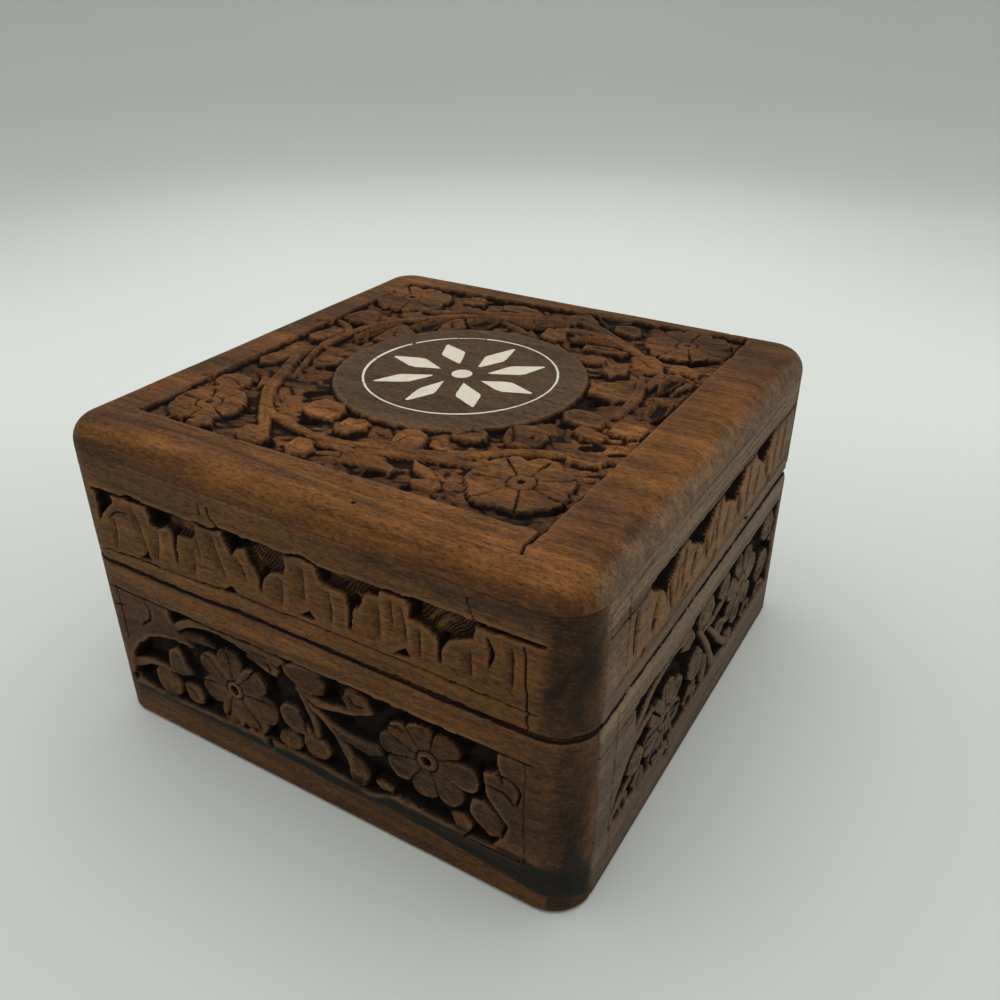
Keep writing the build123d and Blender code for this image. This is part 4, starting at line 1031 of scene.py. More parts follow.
def wood(name, look, grain, offset, warmth=0.5, light=1.0, carved=True):
    """Oiled hardwood with its grain along X or Y; the carving's dirt, painted shade, stains and painted
    light come from the mesh, and light makes the whole colour lighter or darker as painted light or shade.
    """
    tree = Tree(name)
    dark, mid, warm = tuple(look.dark_colour), tuple(look.wood_colour), tuple(look.warm_colour)
    dirt_and_shade, worn_dust_and_glint, tan = tuple(look.dirt_and_shade_colour), tuple(look.worn_dust_and_glint_colour), tuple(look.ochre_colour)

    def drawn(share):
        """The place on the box with the grain drawn out."""
        return tree.place((share, 1.0, 1.0) if grain == "X" else (1.0, share, 1.0), offset)

    figure = tree.noise(drawn(0.14), 0.07, 4.0, 0.6, 1.2)
    streak = tree.noise(drawn(0.06), 0.5, 6.0, 0.65, 0.6)
    fibre = tree.noise(drawn(0.35), 2.4, 5.0, 0.75, 0.3)
    vein = tree.noise(drawn(0.03), 0.8, 5.0, 0.6, 0.6).between(0.57, 0.7)
    pores = tree.noise(drawn(0.3), 2.8, 2.0, 0.5).between(0.6, 0.66)
    blotch = tree.noise(tree.place(offset=offset), 0.07, 3.0, 0.55)
    tone = figure * 0.55 + streak * 0.3 + blotch * 0.3 - 0.075 + (warmth - 0.5) * 0.1
    colour = tree.ramp(tone, [(0.36, dark), (0.49, mid), (0.63, warm)])
    height = fibre * 0.7 + streak * 0.2 - pores * 0.6 - vein * 0.3
    rough = 0.66 - fibre * 0.1
    if carved:
        grey = tree.shade(tuple(look.grey_colour), 0.7 + streak * 0.6)
        colour = tree.blend(colour, grey, tree.attribute("grey") * (0.45 + streak * 0.7))
        ochre = tree.shade(tan, 0.6 + streak * 0.8)
        colour = tree.blend(colour, ochre, tree.attribute("ochre") * (0.5 + streak * 0.6))
        light = (1.0 + tree.attribute("light") * 0.6 - tree.attribute("shade") * 0.7) * light
    colour = tree.shade(colour, ((fibre - 0.5) * 2.8 + (streak - 0.5) * 1.0 + 0.97) * light)
    # Pale speckles on the brightest fibres: dust and painted glint
    colour = tree.blend(colour, worn_dust_and_glint, fibre.between(0.5, 0.8) * 0.25)
    colour = tree.blend(colour, dark, vein * 0.3)
    colour = tree.blend(colour, dirt_and_shade, pores * 0.45)
    if not carved:
        return tree.finish(colour, rough, height, **WOOD_SURFACE)

    one = tree.noise(tree.place((0.35, 2.4, 2.0), offset), 1.4, 3.0, 0.6, 0.7)
    other = tree.noise(tree.place((2.4, 0.35, 0.7), offset), 1.4, 3.0, 0.6, 0.7)
    nick = one + (other - one) * blotch.between(0.46, 0.54)
    tooled, floor = tree.attribute("tooled"), tree.attribute("floor")
    colour = tree.shade(colour, tooled * (nick - 0.5) * 2.2 + 1.0)
    colour = tree.blend(colour, tuple(look.stain_colour), tree.attribute("black") * (0.3 + streak * 1.3))
    colour = tree.blend(colour, worn_dust_and_glint, tree.attribute("wear") * (0.1 + fibre * 0.9))
    # Dirt and painted shade in the hollows, broken up by the tool marks
    soil_and_shade = (tree.attribute("dirt_and_shade") + (0.5 - nick) * 0.36 * tooled).between(0.25, 0.8)
    colour = tree.blend(colour, dirt_and_shade, soil_and_shade * 0.97)
    colour = tree.blend(colour, dirt_and_shade, nick.between(0.55, 0.64) * floor * 0.8)
    across = tree.attribute("hatch")
    scored = across.between(LINES_START - 100, LINES_START - 50)
    line = (across * 11.4 + nick * 6.0).math("SINE").between(0.2, 0.9)
    colour = tree.blend(colour, tan, line * scored * (fibre * 1.6 - 0.3))
    height = height + tooled * nick * 1.4
    return tree.finish(colour, rough + soil_and_shade * 0.2, height, **WOOD_SURFACE)


def bone(look):
    """Polished bone, with faint cloudy growth lines."""
    tree = Tree("Bone")
    cloud = tree.noise(tree.place(), 0.5, 4.0, 0.6)
    line = tree.noise(tree.place((1.0, 0.12, 1)), 3.0, 3.0, 0.6)
    speck = tree.noise(tree.place(), 2.6, 2.0, 0.5).between(0.66, 0.74)
    share = cloud.between(0.35, 0.8) * 0.5 + line * 0.25
    colour = tree.blend(tuple(look.bone_colour), tuple(look.bone_shade), share)
    colour = tree.blend(colour, tuple(look.dirt_and_shade_colour), speck * 0.35)
    return tree.finish(colour, 0.42 + cloud * 0.15, line + cloud, strength=0.15)


def brass(look):
    """Thin stamped brass, dulled and darker in patches."""
    tree = Tree("Brass")
    patch = tree.noise(tree.place(), 0.5, 5.0, 0.65)
    scratch = tree.noise(tree.place((0.15, 2.0, 2.0)), 2.0, 3.0, 0.6)
    dull = patch.between(0.42, 0.7) * 0.8
    colour = tree.blend(tuple(look.brass_colour), tuple(look.tarnish_colour), dull)
    height = scratch * 0.4 + patch
    return tree.finish(colour, 0.3 + patch * 0.25, height, strength=0.2, distance=0.0001, Metallic=1.0)


def link(name, mesh):
    """A new object in the scene with a mesh."""
    piece = bpy.data.objects.new(name, mesh)
    bpy.context.scene.collection.objects.link(piece)
    return piece


def grid_quads(index):
    """Faces between neighbouring rows and columns of a grid, such as of point numbers or of places."""
    return np.stack([index[:-1, :-1], index[:-1, 1:], index[1:, 1:], index[1:, :-1]], 2)


def add_mesh(name, points, quads, quads_uv, caps, caps_uv, plain, materials, values):
    """A closed mesh of quads and flat caps, with its bake map, its materials and stored numbers."""
    mesh = bpy.data.meshes.new(name)
    mesh.vertices.add(len(points))
    mesh.vertices.foreach_set("co", (points * METRE).astype(np.float32).ravel())
    corners = np.concatenate([quads.ravel(), *caps]).astype(np.int32)
    totals = np.array([4] * len(quads) + [len(cap) for cap in caps], np.int32)
    slots = np.concatenate([plain, [True] * len(caps)])
    mesh.loops.add(len(corners))
    mesh.loops.foreach_set("vertex_index", corners)
    mesh.polygons.add(len(totals))
    mesh.polygons.foreach_set("loop_start", (np.cumsum(totals) - totals).astype(np.int32))
    mesh.polygons.foreach_set("material_index", slots.astype(np.int32))
    mesh.polygons.foreach_set("use_smooth", ~slots)
    mesh.update(calc_edges=True)
    if mesh.validate():
        raise RuntimeError(f"{name} had faces that Blender had to mend")
    sheet = np.concatenate([quads_uv.reshape(-1, 2), *caps_uv])
    sheet = (sheet - sheet.min(0)) / (sheet.max(0) - sheet.min(0)).max() * 0.996 + 0.002
    mesh.uv_layers.new(name="OFBake").uv.foreach_set("vector", sheet.astype(np.float32).ravel())
    for key, numbers in values.items():
        stored = mesh.attributes.new(key, "FLOAT", "POINT")
        stored.data.foreach_set("value", numbers.astype(np.float32).ravel())
    mesh.set_sharp_from_angle(angle=SHARP_ANGLE)
    for material in materials:
        mesh.materials.append(material)
    return link(name, mesh)


def outline_place(u):
    """Sideways and outward place on a side's outer outline, and the outward direction there."""
    turn = np.clip((np.abs(u) - STRAIGHT) / CORNER, 0, None)
    across = np.where(turn > 0, STRAIGHT + CORNER * np.sin(turn), np.abs(u)) * np.sign(u)
    out = STRAIGHT + CORNER * np.cos(turn)
    return across, out, np.sin(turn) * np.sign(u), np.cos(turn)


def board_depth(relief, u, v, side, base, seed):
    """A carved face's depth with its worn surface, chipped arrises, glue line, foot and hinge room."""
    rise, edge = np.abs(v - SEAM), u.max() - np.abs(u)
    depth = relief.surface() + (0.05 + 0.05 * noise(u, v, 9.0, 7.0, seed + 31))
    depth += 0.03 * np.clip(noise(u, v, 3.0, 0.5, seed + 32), 0, 1)
    chipped = rise + 0.16 * noise(u, v, 1.5, 9.0, seed + 33) + 0.12 * noise(u, v, 0.5, 9.0, seed + 34)
    chipped -= 0.8 * np.clip(noise(u, 0.0 * v, 1.1, 1.0, seed + 35) - 0.62, 0, 1)
    depth = np.maximum(depth, (0.42 if base else 0.36) - chipped)
    depth = np.maximum(depth, 0.2 - np.abs(v - LID_WALLS_TOP) * 1.5)
    depth += 0.35 * np.clip(1 - edge / 0.35, 0, 1)
    if base:
        depth = np.maximum(depth, FOOT_CHAMFER - v)
    if side == "back":
        depth = np.maximum(depth, BEVEL - rise / BEVEL_SLOPE)
        room = (np.abs(np.abs(u) - HINGE_PLACE) < BARREL_ROOM) & (rise < BARREL_RADIUS)
        barrel = BARREL_DEPTH + np.sqrt(np.clip(BARREL_RADIUS**2 - rise**2, 0, None))
        depth = np.where(room, np.maximum(depth, barrel), depth)
    return depth


def board_values(relief, depth, u, v, pitch, dirt_and_shade, base, seed):
    """The stains, dirt, painted shade and wear of a carved face, with painted shade in the gap along the
    seam and a dark glue line.
    """
    values = {**relief.tints, **dirt_shade_and_wear(depth, relief.cuts, pitch, *dirt_and_shade)}
    # Painted shade in the gap along the seam
    values["dirt_and_shade"] = np.maximum(values["dirt_and_shade"], smooth(1.6 - 3.2 * np.abs(v - SEAM)))
    if not base:
        broken = smooth(noise(u, v, 2.2, 9.0, seed + 36) * 3 + 1.2)
        glue_line = 0.9 * smooth(1.3 - 4 * (LID_WALLS_TOP - v)) * broken
        values["dirt_and_shade"] = np.maximum(values["dirt_and_shade"], glue_line)
    return values


def board_level(side, u, v, low, high, base):
    """Heights on a face, where the seam's edge wanders and the warped lid stands off the base."""
    if not base:
        return v + (seam_gap(side, u) + seam_drift(side, u)) * ((high - v) / (high - low)) ** 3
    if side == "back":
        return v - 0.12 * v / high
    return v + seam_drift(side, u) * (v / high) ** 3


def board(name, side, low, high, pitch, carve, seed, materials, base):
    """One side board as a closed mesh with a carved outer face."""
    full = side in ("front", "back")
    end = STRAIGHT + CORNER * math.acos((INNER - STRAIGHT) / CORNER) if full else INNER
    u = np.linspace(-end, end, round(2 * end / pitch) + 1)
    v = np.linspace(low, high, round((high - low) / pitch) + 1)
    relief = Relief(u, v, seed, VIEWS.get(side))
    carve(relief)
    grid_u, grid_v = np.meshgrid(u, v)
    depth = board_depth(relief, grid_u, grid_v, side, base, seed)
    dirt_and_shade = BASE_DIRT_AND_SHADE[side] if base else LID_DIRT_AND_SHADE
    values = board_values(relief, depth, grid_u, grid_v, pitch, dirt_and_shade, base, seed)

    across, out, lean, face = outline_place(grid_u)
    level = board_level(side, u, grid_v, low, high, base)
    outer = np.stack([across - depth * lean, out - depth * face, level], -1)
    squeeze = 0.008 * np.clip(np.abs(u) - STRAIGHT, 0, None) / (end - STRAIGHT + 1e-9) if full else 0
    ring = np.concatenate([outer, board_rings(outline_place(u)[0] * (1 - squeeze), level, base)])
    turn = math.radians(SIDE_TURNS[side])
    c, s = math.cos(turn), math.sin(turn)
    x, y, z = ring[..., 0], ring[..., 1], ring[..., 2]
    points = np.stack([x * c + y * s, x * s - y * c, z], -1)

    rows, columns = x.shape
    index = np.arange(rows * columns).reshape(rows, columns)
    quads = grid_quads(np.vstack([index, index[:1]]))
    flat = ring[:, columns // 2].copy()
    flat[: len(v), 1] = HALF
    steps = np.hypot(*np.diff(np.vstack([flat, flat[:1]])[:, 1:], axis=0).T)
    run = np.concatenate([[0], np.cumsum(steps)])
    quads_uv = grid_quads(np.stack(np.broadcast_arrays(u, run[:, None]), -1))
    caps = [index[:, 0], index[::-1, -1]]
    cap_left = np.stack([-end - 2 - (y[:, 0] - INNER), z[:, 0] - low], -1)
    cap_right = np.stack([end + 2 + (y[::-1, -1] - INNER), z[::-1, -1] - low], -1)
    plain = np.repeat(np.arange(rows) >= len(v) - 1, columns - 1)
    extra = np.zeros((rows - len(v), columns))
    values = {key: np.concatenate([value, extra]) for key, value in values.items()}
    return add_mesh(
        name, points.reshape(-1, 3), quads.reshape(-1, 4), quads_uv, caps, [cap_left, cap_right], plain,
        materials, values,
    )


def seam_gap(side, u):
    """How far the slightly warped lid stands off the base along one side."""
    if side == "right":
        return 0.26 + 0.5 * smooth((u + 30) / 75)
    if side == "back":
        return 0.14 + 0.0 * u
    return 0.26 + 0.3 * smooth((u + 10) / 45) + 0.06 * np.sin(u * 0.31) + 0.04 * np.sin(u * 1.3)


def seam_drift(side, u):
    """How far the sawn line between base and lid wanders from its level along one side."""
    if side != "front":
        return 0.0 * u
    places = (-46, -30, -18, -12, 0, 18, 30, 44)
    return np.interp(u, places, (-0.4, -0.5, -0.3, 0.2, 0.0, -0.05, -0.25, 0.0))


def board_rings(across, level, base):
    """The plain inner face and rims behind a board's face, from its top edge down and round to its foot."""
    inner = np.full(across.shape, INNER)
    if not base:
        return [np.stack([across, inner, height], -1) for height in (level[-1], level[0])]
    shelf = np.where(np.abs(across) <= INNER + RABBET, 1.0, 0.0)
    out = inner + RABBET * shelf
    return [
        np.stack([across, inner, level[-1]], -1),
        np.stack([across, inner, np.full(across.shape, RABBET + 0.02)], -1),
        np.stack([across, out, RABBET * (0.5 + 0.5 * shelf)], -1),
        np.stack([across, out, np.zeros(across.shape)], -1),
    ]


def grid_lines(fine_low, fine_high, fine):
    """Grid lines over the lid: fine in the carved square, coarse on the border, fine on the edge."""
    flat, coarse = HALF - ROUND_OVER, 0.5
    edge = flat + ROUND_OVER * np.sin(np.radians(np.linspace(0, 90, 9)))
    left = np.linspace(-flat, fine_low, max(2, round((fine_low + flat) / coarse)) + 1)
    middle = np.linspace(fine_low, fine_high, round((fine_high - fine_low) / fine) + 1)
    right = np.linspace(fine_high, flat, max(2, round((flat - fine_high) / coarse)) + 1)
    return np.concatenate([-edge[::-1], left[1:-1], middle, right[1:-1], edge])


def rounded_slab(x, y, depth):
    """Places on the slab's rounded outline and round-over, sunk by the carving's depth."""
    a, b = np.clip(np.abs(x) - STRAIGHT, 0, None), np.clip(np.abs(y) - STRAIGHT, 0, None)
    radius = np.maximum(a, b)
    share = np.minimum(a, b) / np.maximum(radius, 1e-9)
    turn = np.where(a >= b, math.pi / 4 * share, math.pi / 2 - math.pi / 4 * share)
    corner = (a > 0) & (b > 0)
    sign_x, sign_y = np.sign(x), np.sign(y)
    way_x = np.where(corner, np.cos(turn), (a > b).astype(float)) * sign_x
    way_y = np.where(corner, np.sin(turn), (b > a).astype(float)) * sign_y
    out_x = np.where(corner, sign_x * STRAIGHT + radius * way_x, x)
    out_y = np.where(corner, sign_y * STRAIGHT + radius * way_y, y)
    lean = np.clip((radius - (CORNER - ROUND_OVER)) / ROUND_OVER, 0, 1)
    rise = np.sqrt(1 - lean**2)
    level = HEIGHT - ROUND_OVER + ROUND_OVER * rise
    return np.stack([out_x - depth * lean * way_x, out_y - depth * lean * way_y, level - depth * rise], -1)


def lid_top(look, materials):
    """The carved slab on top of the lid, with its edge rounded over."""
    pitch = look.top_pitch / METRE
    x, y = grid_lines(*FINE_ACROSS, pitch), grid_lines(*FINE_ALONG, pitch)
    relief = Relief(x, y, 77, VIEWS["top"])
    top_carving(relief)
    gx, gy = np.meshgrid(x, y)
    depth = relief.surface() + (0.06 + 0.06 * noise(gx, gy, 14.0, 9.0, 91))
    depth = np.where(np.hypot(gx - DISC_PLACE[0], gy - DISC_PLACE[1]) < DISC_FLAT, DISC_DEPTH, depth)
    values = {**relief.tints, **dirt_shade_and_wear(depth, relief.cuts, pitch, *TOP_DIRT_AND_SHADE)}
    surface = rounded_slab(gx, gy, depth).reshape(-1, 3)

    index = np.arange(gx.size).reshape(gx.shape)
    loop = np.concatenate([index[0, :-1], index[:-1, -1], index[-1, :0:-1], index[:0:-1, 0]])
    rim = surface[loop].copy()
    rim[:, 2] = LID_WALLS_TOP
    lower = gx.size + np.arange(len(loop))
    quads = grid_quads(index).reshape(-1, 4)
    skirt = np.stack([lower, np.roll(lower, -1), np.roll(loop, -1), loop], -1)
    place = np.stack([gx, gy], -1).reshape(-1, 2)
    inner, outer = place[loop], place[loop] * 1.012
    skirt_uv = np.stack([outer, np.roll(outer, -1, axis=0), np.roll(inner, -1, axis=0), inner], 1)
    cap_uv = rim[::-1, :2] * 0.5 + np.array([HALF * 1.5 + 3, 0])
    values = {key: np.append(value, value.ravel()[loop]) for key, value in values.items()}
    return add_mesh(
        "lid_slab", np.concatenate([surface, rim]), np.concatenate([quads, skirt]),
        np.concatenate([place[quads], skirt_uv]), [lower[::-1]], [cap_uv],
        np.zeros(len(quads) + len(skirt), bool), materials, values,
    )


def settle(piece, node, body):
    """The piece stands for its node and moves with its body."""
    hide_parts(node)
    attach(piece, body)


# Bone pieces as seen from above, in hundredths of the width. A strip of the ring has a first and last angle
# in degrees and the widths along it; a petal has its outline.
RING_MIDDLE = np.array((-1.75, 1.35))
RING_RADIUS = 17.85
RING_STRIPS = [
    (-134, -24, (0.42, 0.36, 0.4, 0.46, 0.36)), (-23.5, 106, (0.36, 0.34, 0.42, 0.36, 0.4, 0.5)),
    (107, 124, (0.26, 0.14, 0.3)), (124.5, 152.4, (0.3, 0.46, 0.5)), (155.2, 186.5, (0.44, 0.66, 0.6)),
    (187.4, 225.3, (0.62, 0.5, 0.4)),
]
PETALS = [
    [-4.4, 4.9, -4.5, 5.6, -6.4, 10.1, -7, 10.7, -11.6, 12.2, -11.8, 11.7, -10, 7.4, -9.4, 6.8],
    [-0.6, 5.5, 0, 5.7, 2.2, 10.2, 2.1, 11.3, 1, 16.6, 0.5, 16.6, -1.9, 11, -2, 10.1],
    [2.6, 3.7, 3.3, 3.8, 8, 6, 8.7, 6.8, 10.3, 11.7, 9.9, 11.8, 5, 9, 4.4, 8.3],
    [3.5, 0, 7.8, -2, 9, -2.2, 14, -0.3, 14, 0.1, 8.8, 2.2, 7.4, 2],
    [1.2, -2.3, 2.6, -6.8, 3.2, -7.9, 7.8, -10.2, 8.3, -10.2, 6.9, -5.6, 6.4, -5],
    [-2.3, -3.3, -4.1, -8, -4.2, -9, -3.6, -13.6, -3, -13.6, -0.8, -9, -0.9, -8],
    [-5.6, -2, -10.8, -4.7, -11.3, -5.3, -13.4, -9.7, -13, -9.9, -8.3, -7.3, -7.6, -6.8, -5.6, -2.8],
    [-6, 1.2, -11, 3.7, -12.4, 3.6, -17, 2, -16.9, 1.5, -12, -0.6, -10.6, -0.6],
]
DOT_MIDDLE = (-1.35, 1.1)
DOT_RADII = (1.92, 1.95)

# How deep the bone is let in, how far apart its outline's points lie, how uneven its edges are, and how far
# they are eased down and in, all in millimetres
INLAY_DEPTH = 1.0
INLAY_STEP = 0.5
INLAY_WOBBLE = 0.035
INLAY_EASED = (0.03, 0.05)


def ring_strip(start, end, widths):
    """The outline of one strip of the ring, with its width blended along it."""
    angles = np.radians(np.linspace(start, end, max(3, round((end - start) / 3))))
    way = np.stack([np.cos(angles), np.sin(angles)], -1)
    half = np.interp(np.linspace(0, 1, len(angles)), np.linspace(0, 1, len(widths)), widths)[:, None] / 2
    outer, inner = (RING_MIDDLE + way * (RING_RADIUS + half * sign) for sign in (1, -1))
    return np.concatenate([outer, inner[::-1]])


def let_in(name, shapes, node, material):
    """One piece of flat shapes let into the disc, with uneven, slightly eased edges."""
    points, faces = [], []
    for shape in shapes:
        shape = np.array(shape).reshape(-1, 2) * HUNDREDTH
        after = np.roll(shape, -1, axis=0)
        if np.sum(shape[:, 0] * after[:, 1] - shape[:, 1] * after[:, 0]) < 0:
            shape = shape[::-1]
            after = np.roll(shape, -1, axis=0)
        steps = np.maximum(1, np.round(np.hypot(*(after - shape).T) / INLAY_STEP)).astype(int)
        pieces = [a + (b - a) * np.arange(n)[:, None] / n for a, b, n in zip(shape, after, steps)]
        line = np.concatenate(pieces)
        line += INLAY_WOBBLE * np.stack([noise(*line.T, 0.8, 0.8, seed) for seed in (5, 6)], -1)
        way = np.roll(line, -1, axis=0) - np.roll(line, 1, axis=0)
        inward = np.stack([-way[:, 1], way[:, 0]], -1) / np.hypot(*way.T)[:, None]
        first, count = len(points), len(line)
        down, within = INLAY_EASED
        for inset, level in ((0.0, HEIGHT - INLAY_DEPTH), (0.0, HEIGHT - down), (within, HEIGHT)):
            points += [(x * METRE, y * METRE, level * METRE) for x, y in line + inward * inset]
        for k in range(count):
            after = (k + 1) % count
            for row in (first, first + count):
                faces.append((row + k, row + after, row + count + after, row + count + k))
        faces += [tuple(range(first + 2 * count, first + 3 * count))]
        faces += [tuple(range(first + count - 1, first - 1, -1))]
    mesh = bpy.data.meshes.new(name)
    mesh.from_pydata(points, [], faces)
    mesh.materials.append(material)
    settle(link(name, mesh), node, "lid")


CARVINGS = {
    "front": (front_base, front_lid),
    "right": (right_base, right_lid),
    "back": (right_base, right_lid),
    "left": (front_base, front_lid),
}


def length_setting(name, description, value):
    """A length that a user would change."""
    return bpy.props.FloatProperty(
        name=name, description=description, default=value, unit="LENGTH", precision=5
    )


def colour_setting(name, description, *value):
    """A colour that a user would change."""
    return bpy.props.FloatVectorProperty(
        name=name, description=description, default=(*value, 1), subtype="COLOR", size=4, min=0, max=1
    )


class BoxLook(bpy.types.PropertyGroup):
    """Sizes and colours that a user would change."""

    pitch: length_setting("Carving pitch", "Spacing of the mesh on the front and right faces", 0.00026)
    back_pitch: length_setting("Back pitch", "Spacing of the mesh on the back and left faces", 0.00034)
    top_pitch: length_setting("Top pitch", "Spacing of the mesh in the carved square", 0.00032)
    wood_colour: colour_setting("Wood", "Main colour of the oiled wood", 0.088, 0.035, 0.0085)
    dark_colour: colour_setting("Dark grain", "Colour of the dark streaks", 0.03, 0.0125, 0.004)
    warm_colour: colour_setting("Warm grain", "Colour of the rusty streaks", 0.17, 0.066, 0.015)
    ochre_colour: colour_setting("Sapwood", "Tan colour of the drapery bands", 0.148, 0.06, 0.0105)
    grey_colour: colour_setting("Greyed wood", "Colour of the dry, greyed wood", 0.15, 0.102, 0.062)
    stain_colour: colour_setting("Stain", "Greenish black of the dark veins", 0.005, 0.006, 0.0042)
    # The dark of the hollows: dirt and painted shade
    dirt_and_shade_colour: colour_setting("Dirt", "Colour of the hollows", 0.006, 0.0028, 0.0018)
    # This colour also makes pale speckles on the brightest fibres, as dust and painted glint
    worn_dust_and_glint_colour: colour_setting("Worn edges", "Colour of the rubbed edges", 0.2, 0.098, 0.042)
    bone_colour: colour_setting("Bone", "Colour of the inlay", 0.78, 0.7, 0.54)
    bone_shade: colour_setting("Bone shade", "Cloudy colour in the inlay", 0.6, 0.52, 0.4)
    brass_colour: colour_setting("Brass", "Colour of the hinges", 0.62, 0.43, 0.18)
    tarnish_colour: colour_setting("Tarnish", "Colour of the dulled brass", 0.25, 0.16, 0.08)


def wood_set(look):
    """The woods, made once and shared by the boards."""
    if "Wood along X" not in bpy.data.materials:
        # Lit and shaded copies of the wood: painted shade on the front and back boards and painted light on
        # the lid slab
        wood("Wood along X", look, "X", (3.1, 7.7, 2.2), light=0.9)
        wood("Wood along Y", look, "Y", (41.3, 3.9, 8.4), warmth=0.3)
        wood("Lid slab", look, "X", (11.0, 23.0, 5.0), warmth=0.8, light=1.07)
        wood("Raw wood along X", look, "X", (61.0, 5.0, 9.0), carved=False)
        wood("Raw wood along Y", look, "Y", (71.0, 15.0, 19.0), carved=False)
    return bpy.data.materials


def make_boards(look, part):
    """The four carved sides of the base or the lid."""
    base = part == "base"
    low, high = (0.0, SEAM) if base else (SEAM, LID_WALLS_TOP)
    woods = wood_set(look)
    for number, side in enumerate(SIDE_TURNS):
        grain = "X" if side in ("front", "back") else "Y"
        materials = [woods[f"Wood along {grain}"], woods[f"Raw wood along {grain}"]]
        pitch = (look.pitch if side in ("front", "right") else look.back_pitch) / METRE
        carve = CARVINGS[side][0 if base else 1]
        seed = 100 + 40 * number + (0 if base else 20)
        piece = board(f"{part}_{side}_carved", side, low, high, pitch, carve, seed, materials, base)
        settle(piece, f"{part}_{side}_board", part)


class TRINKET_OT_base_boards(bpy.types.Operator):
    """Make the four carved boards of the base"""

    bl_idname = "trinket.base_boards"
    bl_label = "Base Boards"

    def execute(self, context):
        make_boards(context.scene.trinket_box, "base")
        return {"FINISHED"}


class TRINKET_OT_lid_boards(bpy.types.Operator):
    """Make the four carved boards of the lid"""

    bl_idname = "trinket.lid_boards"
    bl_label = "Lid Boards"

    def execute(self, context):
        make_boards(context.scene.trinket_box, "lid")
        return {"FINISHED"}


class TRINKET_OT_lid_slab(bpy.types.Operator):
    """Make the carved slab on top of the lid"""

    bl_idname = "trinket.lid_slab"
    bl_label = "Lid Slab"

    def execute(self, context):
        look = context.scene.trinket_box
        woods = wood_set(look)
        piece = lid_top(look, [woods["Lid slab"], woods["Raw wood along X"]])
        settle(piece, "lid_top_board", "lid")
        return {"FINISHED"}


class TRINKET_OT_bottom(bpy.types.Operator):
    """Finish the plain bottom board"""

    bl_idname = "trinket.bottom"
    bl_label = "Bottom Board"

    def execute(self, context):
        woods = wood_set(context.scene.trinket_box)
        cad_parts["bottom_board"].material_slots[0].material = woods["Raw wood along X"]
        return {"FINISHED"}


class TRINKET_OT_inlay(bpy.types.Operator):
    """Make the bone ring, petals and dot"""

    bl_idname = "trinket.inlay"
    bl_label = "Bone Inlay"

    def execute(self, context):
        material = bone(context.scene.trinket_box)
        let_in("bone_ring", [ring_strip(*strip) for strip in RING_STRIPS], "inlay_ring", material)
        for number, petal in enumerate(PETALS):
            let_in(f"bone_petal_{number + 1}", [petal], f"inlay_petal_{number + 1}", material)
        angles = np.radians(np.arange(0, 360, 15))
        dot = np.array(DOT_MIDDLE) + np.array(DOT_RADII) * np.stack([np.cos(angles), np.sin(angles)], -1)
        let_in("bone_dot", [dot], "inlay_centre_dot", material)
        return {"FINISHED"}


class TRINKET_OT_hinges(bpy.types.Operator):
    """Finish the hinge leaves, pins and nails"""

    bl_idname = "trinket.hinges"
    bl_label = "Brass Hinges"

    def execute(self, context):
        material = brass(context.scene.trinket_box)
        for name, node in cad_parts.items():
            if "hinge" in name:
                node.material_slots[0].material = material
        return {"FINISHED"}


class TRINKET_OT_stage(bpy.types.Operator):
    """Set up the floor, the light and the camera"""

    bl_idname = "trinket.stage"
    bl_label = "Stage"

    def execute(self, context):
        scene = context.scene
        stage_floor()
        stage_lamp()
        world = bpy.data.worlds.new("Pale room")
        world.use_nodes = True
        background = world.node_tree.nodes["Background"]
        background.inputs["Color"].default_value = ROOM_COLOUR
        background.inputs["Strength"].default_value = ROOM_STRENGTH
        scene.world = world
        data = bpy.data.cameras.new("Camera")
        data.sensor_width = 36.0
        data.lens = LENS
        data.clip_start = 0.01
        scene.camera = link("Camera", data)
        turn = Matrix.Rotation(CAMERA_TURN, 4, "Z") @ Matrix.Rotation(CAMERA_TILT, 4, "X")
        scene.camera.matrix_world = Matrix.Translation(CAMERA_PLACE) @ turn
        scene.view_settings.view_transform = "Standard"
        return {"FINISHED"}


def stage_lamp():
    """A large soft light over the box."""
    data = bpy.data.lights.new("Overhead", "AREA")
    data.shape = "DISK"
    data.size = LAMP_SIZE
    data.energy = LAMP_POWER
    piece = link("Overhead", data)
    piece.rotation_mode = "QUATERNION"
    piece.rotation_quaternion = (Vector(LAMP_PLACE) - Vector(LAMP_AIM)).to_track_quat("Z", "Y")
    piece.location = LAMP_PLACE


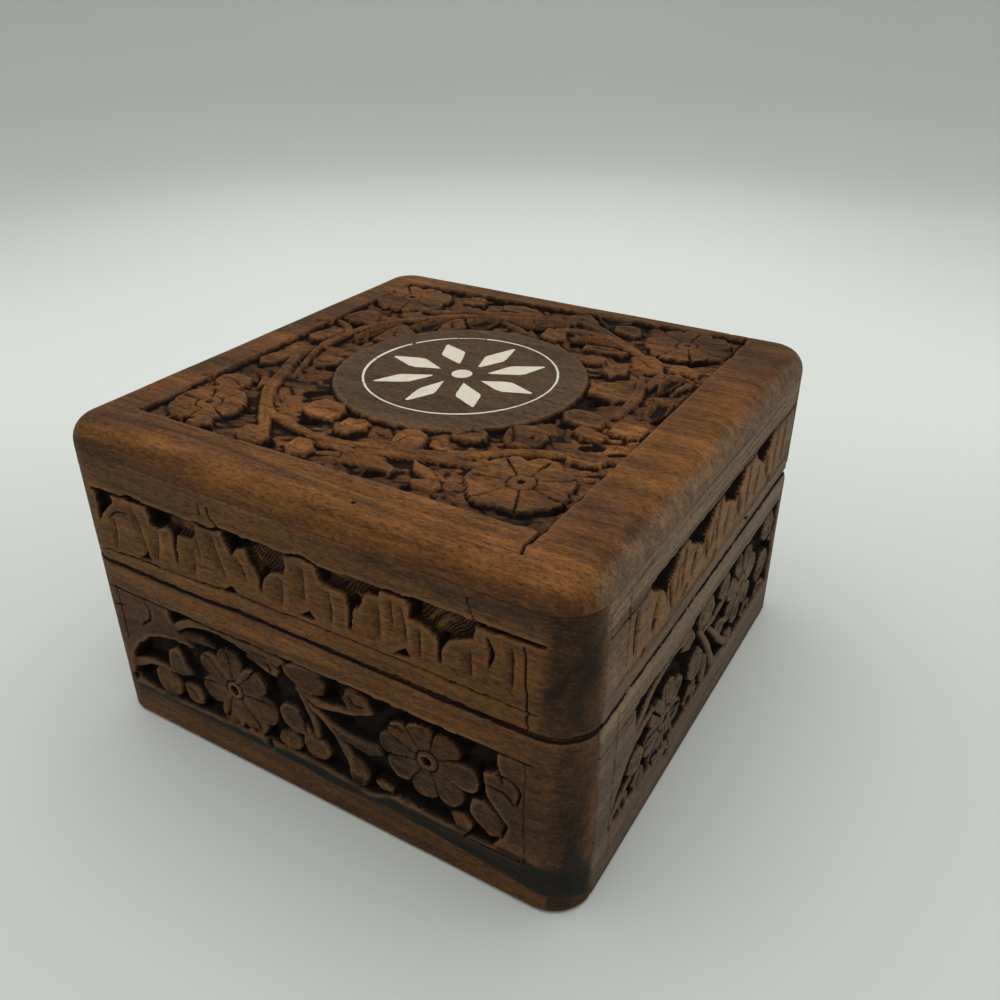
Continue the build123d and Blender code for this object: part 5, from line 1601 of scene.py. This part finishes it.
def stage_floor():
    """A pale sweep: a floor that curves up into a wall behind the box."""
    along = np.linspace(-SWEEP_HALF, SWEEP_HALF, 25)
    bend = [(SWEEP_FRONT, 0.0), (0.0, 0.0), (SWEEP_BACK, 0.0)]
    for angle in np.radians(np.linspace(8, 82, 10)):
        rise = SWEEP_BEND - SWEEP_BEND * math.cos(angle)
        bend.append((SWEEP_BACK + SWEEP_BEND * math.sin(angle), rise))
    wall = SWEEP_BACK + SWEEP_BEND
    bend += [(wall, 2 * SWEEP_BEND), (wall, SWEEP_TOP)]
    c, s = math.cos(CAMERA_TURN), math.sin(CAMERA_TURN)
    points = [(x * c - y * s, x * s + y * c, z - 0.0001) for y, z in bend for x in along]
    index = np.arange(len(points)).reshape(len(bend), len(along))
    mesh = bpy.data.meshes.new("Sweep")
    mesh.from_pydata(points, [], grid_quads(index).reshape(-1, 4).tolist())
    mesh.polygons.foreach_set("use_smooth", [True] * len(mesh.polygons))
    mesh.materials.append(pale_paper(c, s))
    link("Sweep", mesh)


def pale_paper(c, s):
    """Pale paper that is darker far behind the box and beside it, as the photo's ground is."""
    tree = Tree("Pale paper")
    place = tree.place()
    cloud = tree.noise(place, 0.006, 2.0, 0.5)
    away = tree.vector("DOT_PRODUCT", [place, (-s, c, 0)], "Value")
    aside = tree.vector("DOT_PRODUCT", [place, (c, s, 0)], "Value").math("ABSOLUTE")
    sides = aside.between(60, 320) * (away.between(120, 330) - away.between(420, 620)) * 0.2
    # Painted light and shade on the paper: lighter just behind the box, darker far behind it and to its
    # sides
    fade = (1.02 + away.between(-60, 150) * 0.2) * (1.0 - away.between(260, 700) * 0.48) * (1.0 - sides)
    colour = tree.blend((0.62, 0.635, 0.6, 1), (0.66, 0.675, 0.64, 1), cloud)
    return tree.finish(tree.shade(colour, fade), 0.9)


STEPS = ("base_boards", "lid_boards", "lid_slab", "bottom", "inlay", "hinges", "stage")


class TRINKET_PT_panel(bpy.types.Panel):
    """Steps that make the trinket box"""

    bl_label = "Trinket Box"
    bl_idname = "TRINKET_PT_panel"
    bl_space_type = "VIEW_3D"
    bl_region_type = "UI"
    bl_category = "Trinket Box"

    def draw(self, context):
        for step in STEPS:
            self.layout.operator(f"trinket.{step}")


CLASSES = (
    BoxLook, TRINKET_OT_base_boards, TRINKET_OT_lid_boards, TRINKET_OT_lid_slab, TRINKET_OT_bottom,
    TRINKET_OT_inlay, TRINKET_OT_hinges, TRINKET_OT_stage, TRINKET_PT_panel,
)


def register():
    for item in CLASSES:
        bpy.utils.register_class(item)
    bpy.types.Scene.trinket_box = bpy.props.PointerProperty(type=BoxLook)


def unregister():
    del bpy.types.Scene.trinket_box
    for item in reversed(CLASSES):
        bpy.utils.unregister_class(item)


def main():
    """Makes the whole box."""
    register()
    for step in STEPS:
        getattr(bpy.ops.trinket, step)()


if __name__ == "__main__":
    main()
